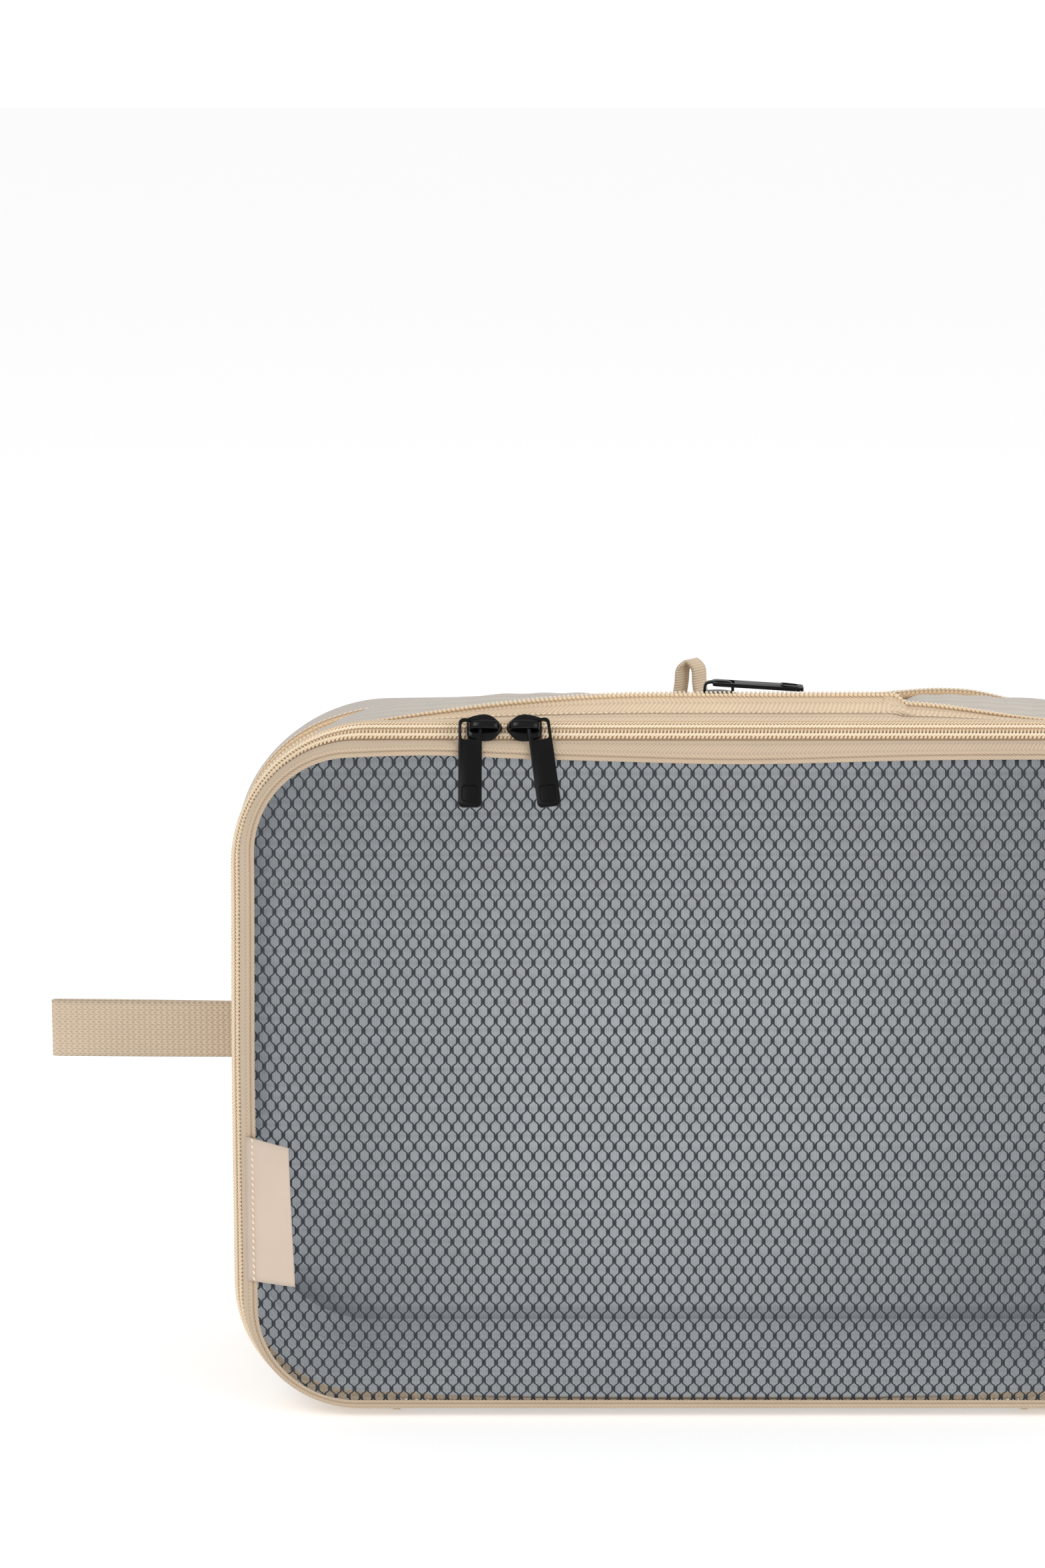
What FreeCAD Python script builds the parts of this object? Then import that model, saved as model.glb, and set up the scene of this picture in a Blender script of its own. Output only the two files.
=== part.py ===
import FreeCAD, Part
import os
import re
import Sketcher

# Compression packing cube, standing on its long edge. Millimetres.
# X runs along the width, Y from the mesh lid to the back panel, Z up.
# The origin is the centre of the rear wall's base, which lies in the plane Z = 0.

vector = FreeCAD.Vector
doc = FreeCAD.newDocument("PackingCube")

sizes = {
    # the whole cube, at the crest of the two collars
    "cube_width": 334,
    "cube_height": 251,
    "top_round": 62,
    "low_round": 50,
    "expansion": 44,
    "rear_wall_run": 36,
    # the bands from the mesh edge to the crest: depth in Y, then how far each one
    # steps outward along the top, the sides and the base
    "lid_tape_run": 5,
    "lid_tape_rise": 3.4,
    "lid_tape_side": 3.2,
    "lid_tape_low": 2,
    "lid_coil_run": 1.5,
    "lid_coil_rise": 2.9,
    "lid_coil_side": 1.6,
    "lid_coil_low": 0.8,
    "main_coil_run": 1.5,
    "main_coil_rise": 2.9,
    "main_coil_side": 1.6,
    "main_coil_low": 0.8,
    "upper_tape_run": 4,
    "upper_tape_rise": 2.4,
    "upper_tape_side": 1.6,
    "upper_tape_low": 1.4,
    "collar_tape_run": 3,
    "collar_tape_rise": 4.8,
    "collar_tape_side": 1,
    "collar_tape_low": 0,
    "collar_coil_run": 2,
    "collar_coil_rise": 2,
    "collar_coil_side": 1,
    "collar_coil_low": 0,
    # cloth, tape and coil
    "joint_gap": 0.3,
    "tape_wall": 1.4,
    "seam_wall": 2.6,
    "coil_wall": 1.6,
    "coil_proud": 1,
    "cloth": 0.9,
    "wall_cloth": 1.2,
    "panel_cloth": 1,
    "binding_run": 2,
    "binding_width": 3,
    # mesh window: a shallow pillow in two steps
    "mesh_cloth": 0.8,
    "shoulder_depth": 3.2,
    "shoulder_inset": 12,
    "belly_depth": 5,
    "belly_inset": 26,
    # the stretch of the base where ripstop replaces the main zipper
    "hinge_half": 108.5,
    "hinge_cloth": 1.3,
    "zipper_end_width": 2.7,
    # sliders
    "left_slider_place": -77.7,
    "right_slider_place": -64.4,
    "compression_slider_place": 0.7,
    "slider_length": 12,
    "slider_half": 4.4,
    "slider_tail_half": 4.2,
    "slider_nose": 3.4,
    "slider_nose_half": 1.5,
    "slider_gap": 0.3,
    "slider_plate": 1.5,
    "flange_width": 0.5,
    "flange_drop": 0.05,
    "bridge_half": 5.2,
    "bridge_leg": 1,
    "bridge_width": 2,
    "bridge_window": 2.6,
    "bridge_bar": 1.1,
    # pull tabs
    "pull_length": 30.6,
    "pull_half": 3.9,
    "pull_thick": 1.2,
    "pull_bar": 0.9,
    "pull_hole": 6.8,
    "grip_length": 10,
    "grip_depth": 0.3,
    "right_pull_tilt": 7.4,
    # finger loop by the compression slider
    "loop_place": -7.8,
    "loop_width": 9.6,
    "loop_height": 12,
    "loop_ribbon": 8,
    "loop_thick": 1.2,
    # webbing handle on the left side
    "handle_height": 116,
    "handle_set_back": 6,
    "strap_length": 62,
    "strap_width": 20,
    "strap_half": 1.7,
    "strap_slit": 0.6,
    "strap_sewn": 8,
    "bartack_length": 4.5,
    "bartack_thick": 0.4,
    # label tag sewn into the left edge of the mesh
    "label_width": 16.6,
    "label_height": 51,
    "label_thick": 0.5,
    "label_place": 47.4,
    "label_tilt": 13,
    "label_stand": 0.5,
    # ends of the compression tapes, folded over beside the crest
    "fold_place": 64.5,
    "fold_width": 5.6,
    "fold_height": 4.8,
    "fold_thick": 0.6,
}

sheet = doc.addObject("Spreadsheet::Sheet", "Sizes")
for row, (alias, size) in enumerate(sizes.items(), 1):
    sheet.set(f"A{row}", alias)
    sheet.set(f"B{row}", str(size))
    sheet.setAlias(f"B{row}", alias)
doc.recompute()

# Places along Y, each worked out from its neighbour
stations = {
    "rear_seam": "-rear_wall_run / 2",
    "back": "rear_wall_run / 2",
    "rear_tape_front": "rear_seam - collar_tape_run",
    "rear_coil_front": "rear_tape_front - collar_coil_run",
    "front_coil_back": "rear_coil_front - expansion",
    "front_tape_back": "front_coil_back - collar_coil_run",
    "front_seam": "front_tape_back - collar_tape_run",
    "chain_back": "front_seam - upper_tape_run",
    "chain_split": "chain_back - main_coil_run",
    "lid_back": "chain_split - joint_gap",
    "lid_tape_back": "lid_back - lid_coil_run",
    "lid_front": "lid_tape_back - lid_tape_run",
}

# Lines round the cube, from the crest inward to the mesh edge. Each line is the crest
# drawn in by the bands named with it.
lines = {
    "crest": [],
    "tape_line": ["collar_coil"],
    "seam_line": ["collar_coil", "collar_tape"],
    "chain_line": ["collar_coil", "collar_tape", "upper_tape"],
    "split_line": ["collar_coil", "collar_tape", "upper_tape", "main_coil"],
    "lid_line": ["collar_coil", "collar_tape", "upper_tape", "main_coil", "lid_coil"],
    "mesh_line": ["collar_coil", "collar_tape", "upper_tape", "main_coil", "lid_coil", "lid_tape"],
}

# Places that several pieces share
places = {
    "slider_level": "slider_gap + slider_plate",
    "pivot_level": "slider_gap + slider_plate + bridge_window / 2",
    "leg_middle": "bridge_half - bridge_leg / 2",
    "chain_slope": "atan2(main_coil_rise + lid_coil_rise; main_coil_run + lid_coil_run + joint_gap)",
    "collar_slope": "atan2(collar_tape_rise; collar_tape_run)",
    "pull_above_leg": "bridge_width / 2 + joint_gap + pull_bar",
}


def drawn_in(line, way):
    names = [f"{band}_{way}" for band in lines[line]]
    return "(" + " + ".join(names or ["0"]) + ")"


def formula(text):
    """Write a formula of plain names as a FreeCAD expression on the sheet."""
    derived = {**stations, **places}
    while any(re.search(rf"\b{name}\b", text) for name in derived):
        for name, meaning in derived.items():
            text = re.sub(rf"\b{name}\b", f"({meaning})", text)
    return re.sub(r"\b[a-z]+(_[a-z]+)*\b",
                  lambda word: f"Sizes.{word[0]}" if word[0] in sizes else word[0], text)


def value(text):
    return float(sheet.evalExpression(formula(text)))


def new_body(name):
    body = doc.addObject("PartDesign::Body", name)
    body.Label = name
    return body


def new_sketch(body, name, plane, height="0"):
    sketch = body.newObject("Sketcher::SketchObject", name)
    base = next(o for o in body.Origin.OriginFeatures if o.Role == plane)
    sketch.AttachmentSupport = [(base, "")]
    sketch.MapMode = "FlatFace"
    sketch.setExpression("AttachmentOffset.Base.z", formula(height))
    return sketch


def fix(sketch, kind, text, *geometry):
    """Add one sized constraint to a sketch and bind it to the sheet."""
    number = sketch.addConstraint(Sketcher.Constraint(kind, *geometry, value(text)))
    sketch.setExpression(f"Constraints[{number}]", formula(text))


def draw_outline(body, name, station, line, sink="0"):
    """A rounded rectangle in the XZ plane, `sink` inside one of the lines round the cube."""
    rise = f"({drawn_in(line, 'rise')} + {sink})"
    side = f"({drawn_in(line, 'side')} + {sink})"
    low = f"({drawn_in(line, 'low')} + {sink})"
    top_radius = f"(top_round - {rise} - {side} + {sink})"
    low_radius = f"(low_round - {low} - {side} + {sink})"
    half = f"(cube_width / 2 - {side})"
    top = f"(cube_height - {rise})"
    sketch = new_sketch(body, name, "XZ_Plane", f"-({station})")
    x, z, floor = value(half), value(top), value(low)
    r, q = value(top_radius), value(low_radius)
    turn = 1.5707963267948966

    def arc(cx, cz, radius, start):
        circle = Part.Circle(vector(cx, cz, 0), vector(0, 0, 1), radius)
        return Part.ArcOfCircle(circle, start, start + turn)

    sketch.addGeometry([
        Part.LineSegment(vector(q - x, floor, 0), vector(x - q, floor, 0)),
        arc(x - q, floor + q, q, -turn),
        Part.LineSegment(vector(x, floor + q, 0), vector(x, z - r, 0)),
        arc(x - r, z - r, r, 0),
        Part.LineSegment(vector(x - r, z, 0), vector(r - x, z, 0)),
        arc(r - x, z - r, r, turn),
        Part.LineSegment(vector(-x, z - r, 0), vector(-x, floor + q, 0)),
        arc(q - x, floor + q, q, 2 * turn),
    ], False)
    for edge in range(8):
        sketch.addConstraint(Sketcher.Constraint("Tangent", edge, 2, (edge + 1) % 8, 1))
    for edge in (0, 4):
        sketch.addConstraint(Sketcher.Constraint("Horizontal", edge))
    sketch.addConstraint(Sketcher.Constraint("Vertical", 2))
    sketch.addConstraint(Sketcher.Constraint("Equal", 1, 7))
    sketch.addConstraint(Sketcher.Constraint("Equal", 3, 5))
    fix(sketch, "Radius", low_radius, 1)
    fix(sketch, "Radius", top_radius, 3)
    fix(sketch, "DistanceX", half, -1, 1, 2, 1)
    fix(sketch, "DistanceX", half, 6, 1, -1, 1)
    fix(sketch, "DistanceY", top, -1, 1, 4, 1)
    fix(sketch, "DistanceY", low, -1, 1, 0, 1)
    return sketch


def draw_polygon(body, name, plane, points, height="0"):
    """A closed polygon whose corners are pairs of formulas."""
    sketch = new_sketch(body, name, plane, height)
    corners = [vector(value(a), value(b), 0) for a, b in points]
    count = len(corners)
    for n in range(count):
        sketch.addGeometry(Part.LineSegment(corners[n], corners[(n + 1) % count]), False)
    for n in range(count):
        sketch.addConstraint(Sketcher.Constraint("Coincident", n, 2, (n + 1) % count, 1))
    for n, (a, b) in enumerate(points):
        for kind, text in (("DistanceX", a), ("DistanceY", b)):
            if value(text) >= 0:
                fix(sketch, kind, text, -1, 1, n, 1)
            else:
                fix(sketch, kind, f"-({text})", n, 1, -1, 1)
    return sketch


def rectangle(x0, y0, x1, y1):
    return [(x0, y0), (x1, y0), (x1, y1), (x0, y1)]


def loft(body, name, kind, sketches):
    feature = body.newObject(f"PartDesign::{kind}Loft", name)
    feature.Profile = sketches[0]
    feature.Sections = sketches[1:]
    feature.Ruled = True
    doc.recompute()
    return feature


def pad(body, name, sketch, length, middle=False):
    feature = body.newObject("PartDesign::Pad", name)
    feature.Profile = sketch
    feature.setExpression("Length", formula(length))
    feature.Midplane = middle
    doc.recompute()
    return feature


def pocket_through(body, name, sketch):
    """Cut a sketch out of a body both ways, and check that it took something."""
    before = body.Shape.Volume
    feature = body.newObject("PartDesign::Pocket", name)
    feature.Profile = sketch
    feature.Type = "ThroughAll"
    feature.Midplane = True
    doc.recompute()
    if not body.Shape.Volume < before:
        raise RuntimeError(f"{body.Label}: {name} cut nothing")
    return feature


def ring(name, front, back, wall, proud="0", hinge_opening=None):
    """A band of tape, coil or cloth round the cube between two stations.

    front and back are (station, line, sink). The band stands `proud` of its line. With a
    hinge opening it is left out of the base for that far on each side of the middle.
    """
    body = new_body(name)
    outer = []
    inner = []
    for where, (station, line, sink) in (("Front", front), ("Back", back)):
        outer.append(draw_outline(body, f"{name}{where}Outer", station, line, f"({sink} - {proud})"))
        inner.append(draw_outline(body, f"{name}{where}Inner", station, line, f"({sink} + {wall})"))
    loft(body, f"{name}Loft", "Additive", outer)
    loft(body, f"{name}Hollow", "Subtractive", inner)
    if hinge_opening:
        reach = f"({hinge_opening})"
        opening = draw_polygon(body, f"{name}Opening", "XZ_Plane",
                               rectangle(f"-{reach}", "-low_round / 2", reach, "low_round / 2"))
        pocket_through(body, f"{name}Gap", opening)
    return body


def strip(name, front, profile, start, end):
    """A prism along X between two places, from a profile in Y and Z in front of a station."""
    body = new_body(name)
    sketch = draw_polygon(body, f"{name}Profile", "YZ_Plane", profile)
    pad(body, f"{name}Pad", sketch, f"({end}) - ({start})", middle=True)
    body.setExpression("Placement.Base.x", formula(f"(({start}) + ({end})) / 2"))
    body.setExpression("Placement.Base.y", formula(front))
    return body


def place(body, where, turns):
    """Put a body at three formulas, turned about each (axis, angle) in order."""
    text = "placement(vector({}; {}; {}); rotation(vector(1; 0; 0); 0))".format(
        *(formula(part) for part in where))
    for (x, y, z), angle in turns:
        text += f" * placement(vector(0; 0; 0); rotation(vector({x}; {y}; {z}); {formula(angle)}))"
    body.setExpression("Placement", text)
    doc.recompute()


# ---- lid: mesh window, its tape and coil ----------------------------------------------

def mesh_window():
    body = new_body("mesh_window")
    steps = [("lid_front", "0"),
             ("lid_front - shoulder_depth", "shoulder_inset"),
             ("lid_front - belly_depth", "belly_inset")]
    skin = [draw_outline(body, f"MeshSkin{n}", station, "mesh_line", sink)
            for n, (station, sink) in enumerate(steps)]
    loft(body, "MeshLoft", "Additive", skin)
    core = [draw_outline(body, f"MeshCore{n}", f"{station} + mesh_cloth", "mesh_line", sink)
            for n, (station, sink) in enumerate(steps)]
    loft(body, "MeshHollow", "Subtractive", core)


def lid_bands():
    ring("lid_tape", ("lid_front", "mesh_line", "0"), ("lid_tape_back", "lid_line", "0"),
         "tape_wall", hinge_opening="hinge_half")
    ring("lid_coil", ("lid_tape_back", "lid_line", "0"), ("lid_back", "split_line", "0"),
         "coil_wall", "coil_proud", hinge_opening="hinge_half + zipper_end_width")
    reach = "(lid_tape_run + lid_coil_run)"
    front_low = drawn_in("mesh_line", "low")
    back_low = drawn_in("split_line", "low")
    strip("lid_binding", "lid_front",
          [("0", front_low), (reach, back_low),
           (reach, f"{back_low} + hinge_cloth"), ("0", f"{front_low} + hinge_cloth")],
          "-hinge_half", "hinge_half")


def label_tag():
    body = new_body("label_tag")
    sketch = draw_polygon(body, "LabelFace", "XZ_Plane",
                          rectangle("0", "0", "label_width", "label_height"))
    pad(body, "LabelPad", sketch, "label_thick")
    edge = f"-(cube_width / 2 - {drawn_in('mesh_line', 'side')} + 2)"
    place(body, (edge, "lid_front - label_stand", "label_place"), [((0, 0, 1), "-label_tilt")])


# ---- front section: the ring that the lid closes on, and its collar --------------------

def front_bands():
    ring("main_coil", ("chain_split", "split_line", "0"), ("chain_back", "chain_line", "0"),
         "coil_wall", "coil_proud", hinge_opening="hinge_half + zipper_end_width")
    ring("upper_tape", ("chain_back", "chain_line", "0"), ("front_seam", "seam_line", "0"),
         "seam_wall", hinge_opening="hinge_half")
    ring("front_collar_tape", ("front_seam", "seam_line", "0"),
         ("front_tape_back", "tape_line", "0"), "tape_wall")
    ring("front_collar_coil", ("front_tape_back", "tape_line", "0"),
         ("front_coil_back", "crest", "0"), "tape_wall")


def hinge_strip():
    reach = "(main_coil_run + upper_tape_run)"
    low = drawn_in("split_line", "low")
    strip("hinge_strip", "chain_split",
          [("0", low), (reach, "0"), (reach, "hinge_cloth"), ("0", f"{low} + hinge_cloth")],
          "-hinge_half", "hinge_half")


def zipper_ends():
    start = drawn_in("split_line", "low")
    end = drawn_in("chain_line", "low")
    thick = "(coil_proud + coil_wall)"
    profile = [("0", f"{start} - coil_proud"), ("main_coil_run", f"{end} - coil_proud"),
               ("main_coil_run", f"{end} - coil_proud + {thick}"),
               ("0", f"{start} - coil_proud + {thick}")]
    outer = "hinge_half + zipper_end_width"
    strip("zipper_end_left", "chain_split", profile, f"-({outer})", "-hinge_half")
    strip("zipper_end_right", "chain_split", profile, "hinge_half", outer)


def tape_fold(name, station, turns, where):
    """The folded end of a compression tape, lying against the collar."""
    body = new_body(name)
    face = draw_polygon(body, f"{name}Face", "XY_Plane",
                        rectangle("-fold_width / 2", "0", "fold_width / 2", "fold_height"),
                        "joint_gap / 2")
    pad(body, f"{name}Pad", face, "fold_thick")
    place(body, (where, station, f"cube_height - {drawn_in('seam_line', 'rise')}"), turns)


# ---- rear section: collar, wall, back panel, loop and handle ---------------------------

def rear_bands():
    ring("rear_collar_coil", ("rear_coil_front", "crest", "0"),
         ("rear_tape_front", "tape_line", "0"), "tape_wall")
    ring("rear_collar_tape", ("rear_tape_front", "tape_line", "0"),
         ("rear_seam", "seam_line", "0"), "tape_wall")
    ring("rear_wall", ("rear_seam", "seam_line", "0"), ("back", "seam_line", "0"), "wall_cloth")
    ring("expansion_gusset", ("front_seam", "seam_line", "tape_wall + joint_gap / 3"),
         ("rear_seam", "seam_line", "tape_wall + joint_gap / 3"), "cloth")
    ring("back_binding", ("back + panel_cloth", "seam_line", "0"),
         ("back + panel_cloth + binding_run", "seam_line", "0"), "binding_width")


def back_panel():
    body = new_body("back_panel")
    outline = draw_outline(body, "BackOutline", "back + panel_cloth", "seam_line")
    pad(body, "BackPad", outline, "panel_cloth")


def finger_loop():
    body = new_body("finger_loop")
    half = "loop_width / 2"
    shoulder = "loop_height - loop_width / 4"
    tip = "loop_width / 4"
    outer = draw_polygon(body, "LoopOuter", "XZ_Plane",
                         [(f"-{half}", "0"), (half, "0"), (half, shoulder), (tip, "loop_height"),
                          (f"-{tip}", "loop_height"), (f"-{half}", shoulder)])
    pad(body, "LoopPad", outer, "loop_ribbon")
    inside = draw_polygon(body, "LoopInside", "XZ_Plane",
                          rectangle(f"loop_thick - {half}", "loop_thick", f"{half} - loop_thick",
                                    f"{shoulder} - loop_thick / 2"))
    pocket_through(body, "LoopGap", inside)
    place(body, ("loop_place", "rear_seam + joint_gap + loop_ribbon",
                 f"cube_height - {drawn_in('seam_line', 'rise')}"), [])


def handle():
    """Folded webbing, turning about the round of its sewn end."""
    pivot = (f"-(cube_width / 2 - {drawn_in('seam_line', 'side')} + strap_half + joint_gap)",
             "rear_seam + handle_set_back", "handle_height - strap_width / 2")
    strap = new_body("handle_strap")
    face = new_sketch(strap, "StrapFace", "XY_Plane")
    far = "(strap_length - strap_half)"
    reach, half = value(far), value("strap_half")
    turn = 1.5707963267948966
    face.addGeometry([
        Part.LineSegment(vector(0, half, 0), vector(-reach, half, 0)),
        Part.ArcOfCircle(Part.Circle(vector(-reach, 0, 0), vector(0, 0, 1), half), turn, 3 * turn),
        Part.LineSegment(vector(-reach, -half, 0), vector(0, -half, 0)),
        Part.ArcOfCircle(Part.Circle(vector(0, 0, 0), vector(0, 0, 1), half), -turn, turn),
    ], False)
    for edge in range(4):
        face.addConstraint(Sketcher.Constraint("Tangent", edge, 2, (edge + 1) % 4, 1))
    face.addConstraint(Sketcher.Constraint("Coincident", 3, 3, -1, 1))
    face.addConstraint(Sketcher.Constraint("Horizontal", 0))
    fix(face, "Radius", "strap_half", 3)
    fix(face, "DistanceX", far, 1, 3, -1, 1)
    pad(strap, "StrapPad", face, "strap_width")
    slit = draw_polygon(strap, "StrapSlit", "XY_Plane",
                        rectangle(f"-{far}", "-strap_slit / 2", "-strap_sewn", "strap_slit / 2"))
    pocket_through(strap, "StrapGap", slit)
    place(strap, pivot, [])
    tack = new_body("handle_bartack")
    patch = draw_polygon(tack, "TackFace", "XZ_Plane",
                         rectangle("-(strap_sewn - 1)", "strap_half",
                                   "-(strap_sewn - 1 - bartack_length)", "strap_width - strap_half"),
                         "strap_half")
    pad(tack, "TackPad", patch, "bartack_thick")
    place(tack, pivot, [])


# ---- sliders and pull tabs ------------------------------------------------------------

def slider(name, where, turns):
    """Outer plate with side flanges, and the bridge that holds the pull tab."""
    plate = new_body(f"{name}_body")
    tail = "-slider_length / 2"
    nose = "slider_length / 2"
    shoulder = f"({nose} - slider_nose)"
    outline = draw_polygon(plate, f"{name}Outline", "XY_Plane",
                           [(tail, "-slider_tail_half"), (shoulder, "-slider_half"),
                            (nose, "-slider_nose_half"), (nose, "slider_nose_half"),
                            (shoulder, "slider_half"), (tail, "slider_tail_half")], "slider_gap")
    pad(plate, f"{name}Plate", outline, "slider_plate")
    for side, sign in (("Left", "-"), ("Right", "")):
        edges = sorted((f"{sign}(slider_tail_half)", f"{sign}(slider_tail_half - flange_width)"),
                       key=value)
        rail = draw_polygon(plate, f"{name}{side}Rail", "XY_Plane",
                            rectangle(tail, edges[0], shoulder, edges[1]), "-flange_drop")
        pad(plate, f"{name}{side}Flange", rail, "flange_drop + slider_gap")
    bridge = new_body(f"{name}_bridge")
    inside = "(bridge_half - bridge_leg)"
    under = "(slider_level + bridge_window)"
    crown = "(slider_level + bridge_window + bridge_bar)"
    chamfer = "(bridge_bar * 0.7)"
    profile = draw_polygon(bridge, f"{name}Arch", "XZ_Plane",
                           [("-bridge_half", "slider_level"), (f"-{inside}", "slider_level"),
                            (f"-{inside}", under), (inside, under), (inside, "slider_level"),
                            ("bridge_half", "slider_level"), ("bridge_half", f"{crown} - {chamfer}"),
                            (f"bridge_half - {chamfer}", crown),
                            (f"-(bridge_half - {chamfer})", crown),
                            ("-bridge_half", f"{crown} - {chamfer}")])
    pad(bridge, f"{name}Bridge", profile, "bridge_width", middle=True)
    for body in (plate, bridge):
        place(body, where, turns)


def pull(name, above, place_text):
    """A pull tab with its ring hole; `above` is how far it reaches past its pivot."""
    body = new_body(name)
    corner = "(pull_half / 2)"
    low = f"({above} - pull_length)"
    outline = draw_polygon(body, f"{name}Outline", "XY_Plane",
                           [(f"-(pull_half - {corner})", low), (f"pull_half - {corner}", low),
                            ("pull_half", f"{low} + {corner}"), ("pull_half", f"{above} - pull_bar"),
                            ("pull_half - pull_bar", above), ("-(pull_half - pull_bar)", above),
                            ("-pull_half", f"{above} - pull_bar"), ("-pull_half", f"{low} + {corner}")],
                           "-pull_thick / 2")
    pad(body, f"{name}Plate", outline, "pull_thick")
    hole = draw_polygon(body, f"{name}Hole", "XY_Plane",
                        rectangle("-(pull_half - pull_bar)", f"{above} - pull_bar - pull_hole",
                                  "pull_half - pull_bar", f"{above} - pull_bar"))
    pocket_through(body, f"{name}Ring", hole)
    grip = draw_polygon(body, f"{name}Grip", "XY_Plane",
                        rectangle("-(pull_half - 2 * pull_bar)", f"{low} + {corner} + pull_bar",
                                  "pull_half - 2 * pull_bar",
                                  f"{low} + {corner} + pull_bar + grip_length"), "pull_thick / 2")
    before = body.Shape.Volume
    recess = body.newObject("PartDesign::Pocket", f"{name}Recess")
    recess.Profile = grip
    recess.setExpression("Length", formula("grip_depth"))
    doc.recompute()
    if not body.Shape.Volume < before:
        raise RuntimeError(f"{name}: the grip recess cut nothing")
    body.setExpression("Placement", place_text)


def placement(where, axis, angle):
    x, y, z = (formula(part) for part in where)
    turn = "; ".join(str(part) for part in axis)
    return f"placement(vector({x}; {y}; {z}); rotation(vector({turn}); {formula(angle)}))"


def main_zipper_pulls():
    level = f"cube_height - {drawn_in('split_line', 'rise')} + coil_proud"
    for side, sign, turned, tilt in (("left", "-", "0", "0"),
                                     ("right", "", "180", "right_pull_tilt")):
        where = (f"{side}_slider_place", "chain_split - joint_gap / 2", level)
        slider(f"{side}_slider", where, [((1, 0, 0), "chain_slope"), ((0, 0, 1), turned)])
        pull(f"{side}_pull", "pull_above_leg",
             placement(where, (1, 0, 0), "chain_slope") + " * "
             + placement((f"{sign}leg_middle", "0", "pivot_level"), (0, 0, 1), tilt))


def compression_zipper_pull():
    where = ("compression_slider_place", "front_coil_back + joint_gap / 2", "cube_height")
    slider("compression_slider", where, [])
    pull("compression_pull", "(pull_bar / 2)",
         placement(where, (1, 0, 0), "0") + " * "
         + placement(("0", "0", "pivot_level"), (0, 0, 1), "90"))


mesh_window()
lid_bands()
label_tag()
front_bands()
hinge_strip()
zipper_ends()
tape_fold("front_tape_fold", "front_seam", [((1, 0, 0), "collar_slope")], "fold_place")
rear_bands()
back_panel()
finger_loop()
tape_fold("rear_tape_fold", "rear_seam", [((0, 0, 1), "180"), ((1, 0, 0), "collar_slope")],
          "fold_place")
handle()
main_zipper_pulls()
compression_zipper_pull()

doc.recompute()
for item in doc.Objects:
    if {"Invalid", "Error"} & set(item.State):
        raise RuntimeError(f"{item.Label} failed: {item.State}")
bodies = [item for item in doc.Objects if item.TypeId == "PartDesign::Body"]
for body in bodies:
    if body.Shape.isNull() or not body.Shape.isValid() or len(body.Shape.Solids) != 1:
        raise RuntimeError(f"{body.Label} is not one valid solid")
os.makedirs("parts", exist_ok=True)
for body in bodies:
    body.Shape.exportStep(f"parts/{body.Label}.step")
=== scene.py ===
import math

import bpy
import bmesh
import numpy as np
from mathutils import Matrix, Vector


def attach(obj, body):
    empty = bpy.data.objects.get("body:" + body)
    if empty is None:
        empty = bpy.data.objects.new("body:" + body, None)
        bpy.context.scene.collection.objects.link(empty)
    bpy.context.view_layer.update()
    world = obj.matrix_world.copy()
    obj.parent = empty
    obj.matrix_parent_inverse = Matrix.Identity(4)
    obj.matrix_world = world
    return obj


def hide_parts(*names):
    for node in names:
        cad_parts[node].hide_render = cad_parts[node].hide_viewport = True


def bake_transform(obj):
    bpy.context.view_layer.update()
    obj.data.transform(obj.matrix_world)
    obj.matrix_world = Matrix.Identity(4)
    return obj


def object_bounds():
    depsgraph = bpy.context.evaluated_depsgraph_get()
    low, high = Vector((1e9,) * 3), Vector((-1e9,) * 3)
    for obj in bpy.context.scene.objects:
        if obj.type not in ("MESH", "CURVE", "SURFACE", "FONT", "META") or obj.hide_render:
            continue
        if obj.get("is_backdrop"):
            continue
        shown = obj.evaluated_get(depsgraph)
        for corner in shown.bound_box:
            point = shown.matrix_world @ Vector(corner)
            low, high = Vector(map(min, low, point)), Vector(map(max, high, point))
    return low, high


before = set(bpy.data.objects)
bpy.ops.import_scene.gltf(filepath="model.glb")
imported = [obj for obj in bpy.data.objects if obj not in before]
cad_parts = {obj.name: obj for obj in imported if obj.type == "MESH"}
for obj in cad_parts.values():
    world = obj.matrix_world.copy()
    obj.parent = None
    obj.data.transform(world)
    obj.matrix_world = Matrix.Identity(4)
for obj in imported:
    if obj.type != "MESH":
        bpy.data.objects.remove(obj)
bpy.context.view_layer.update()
scene = bpy.context.scene
print("stage: frame loaded")

# Metres, in the frame of the CAD part: X along the width, Y to the back, Z up.
cube = {"halfWidth": 0.167, "height": 0.251, "topRound": 0.062, "lowRound": 0.050}
# How far each line round the cube is drawn in from the crest: top, sides, base
drawnIn = {
    "crest": (0, 0, 0),
    "tape": (0.0020, 0.0010, 0),
    "seam": (0.0068, 0.0020, 0),
    "chain": (0.0092, 0.0036, 0.0014),
    "split": (0.0121, 0.0052, 0.0022),
    "lid": (0.0150, 0.0068, 0.0030),
    "mesh": (0.0184, 0.0100, 0.0050),
}
stations = {
    "belly": -0.0893, "lidFront": -0.0843, "lidTapeBack": -0.0793, "lidBack": -0.0778, "chainSplit": -0.0775,
    "chainBack": -0.0760, "frontSeam": -0.0720, "frontTapeBack": -0.0690, "frontCoilBack": -0.0670,
    "rearCoilFront": -0.0230, "rearTapeFront": -0.0210, "rearSeam": -0.0180, "back": 0.0180,
}
hingeHalf = 0.1085


def outline(line, inset=0.0):
    rise, side, low = drawnIn[line]
    top = cube["topRound"] - rise - side
    base = cube["lowRound"] - low - side
    return np.array([
        cube["halfWidth"] - side - inset, cube["height"] - rise - inset,
        low + inset, top - inset, base - inset,
    ])


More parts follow.
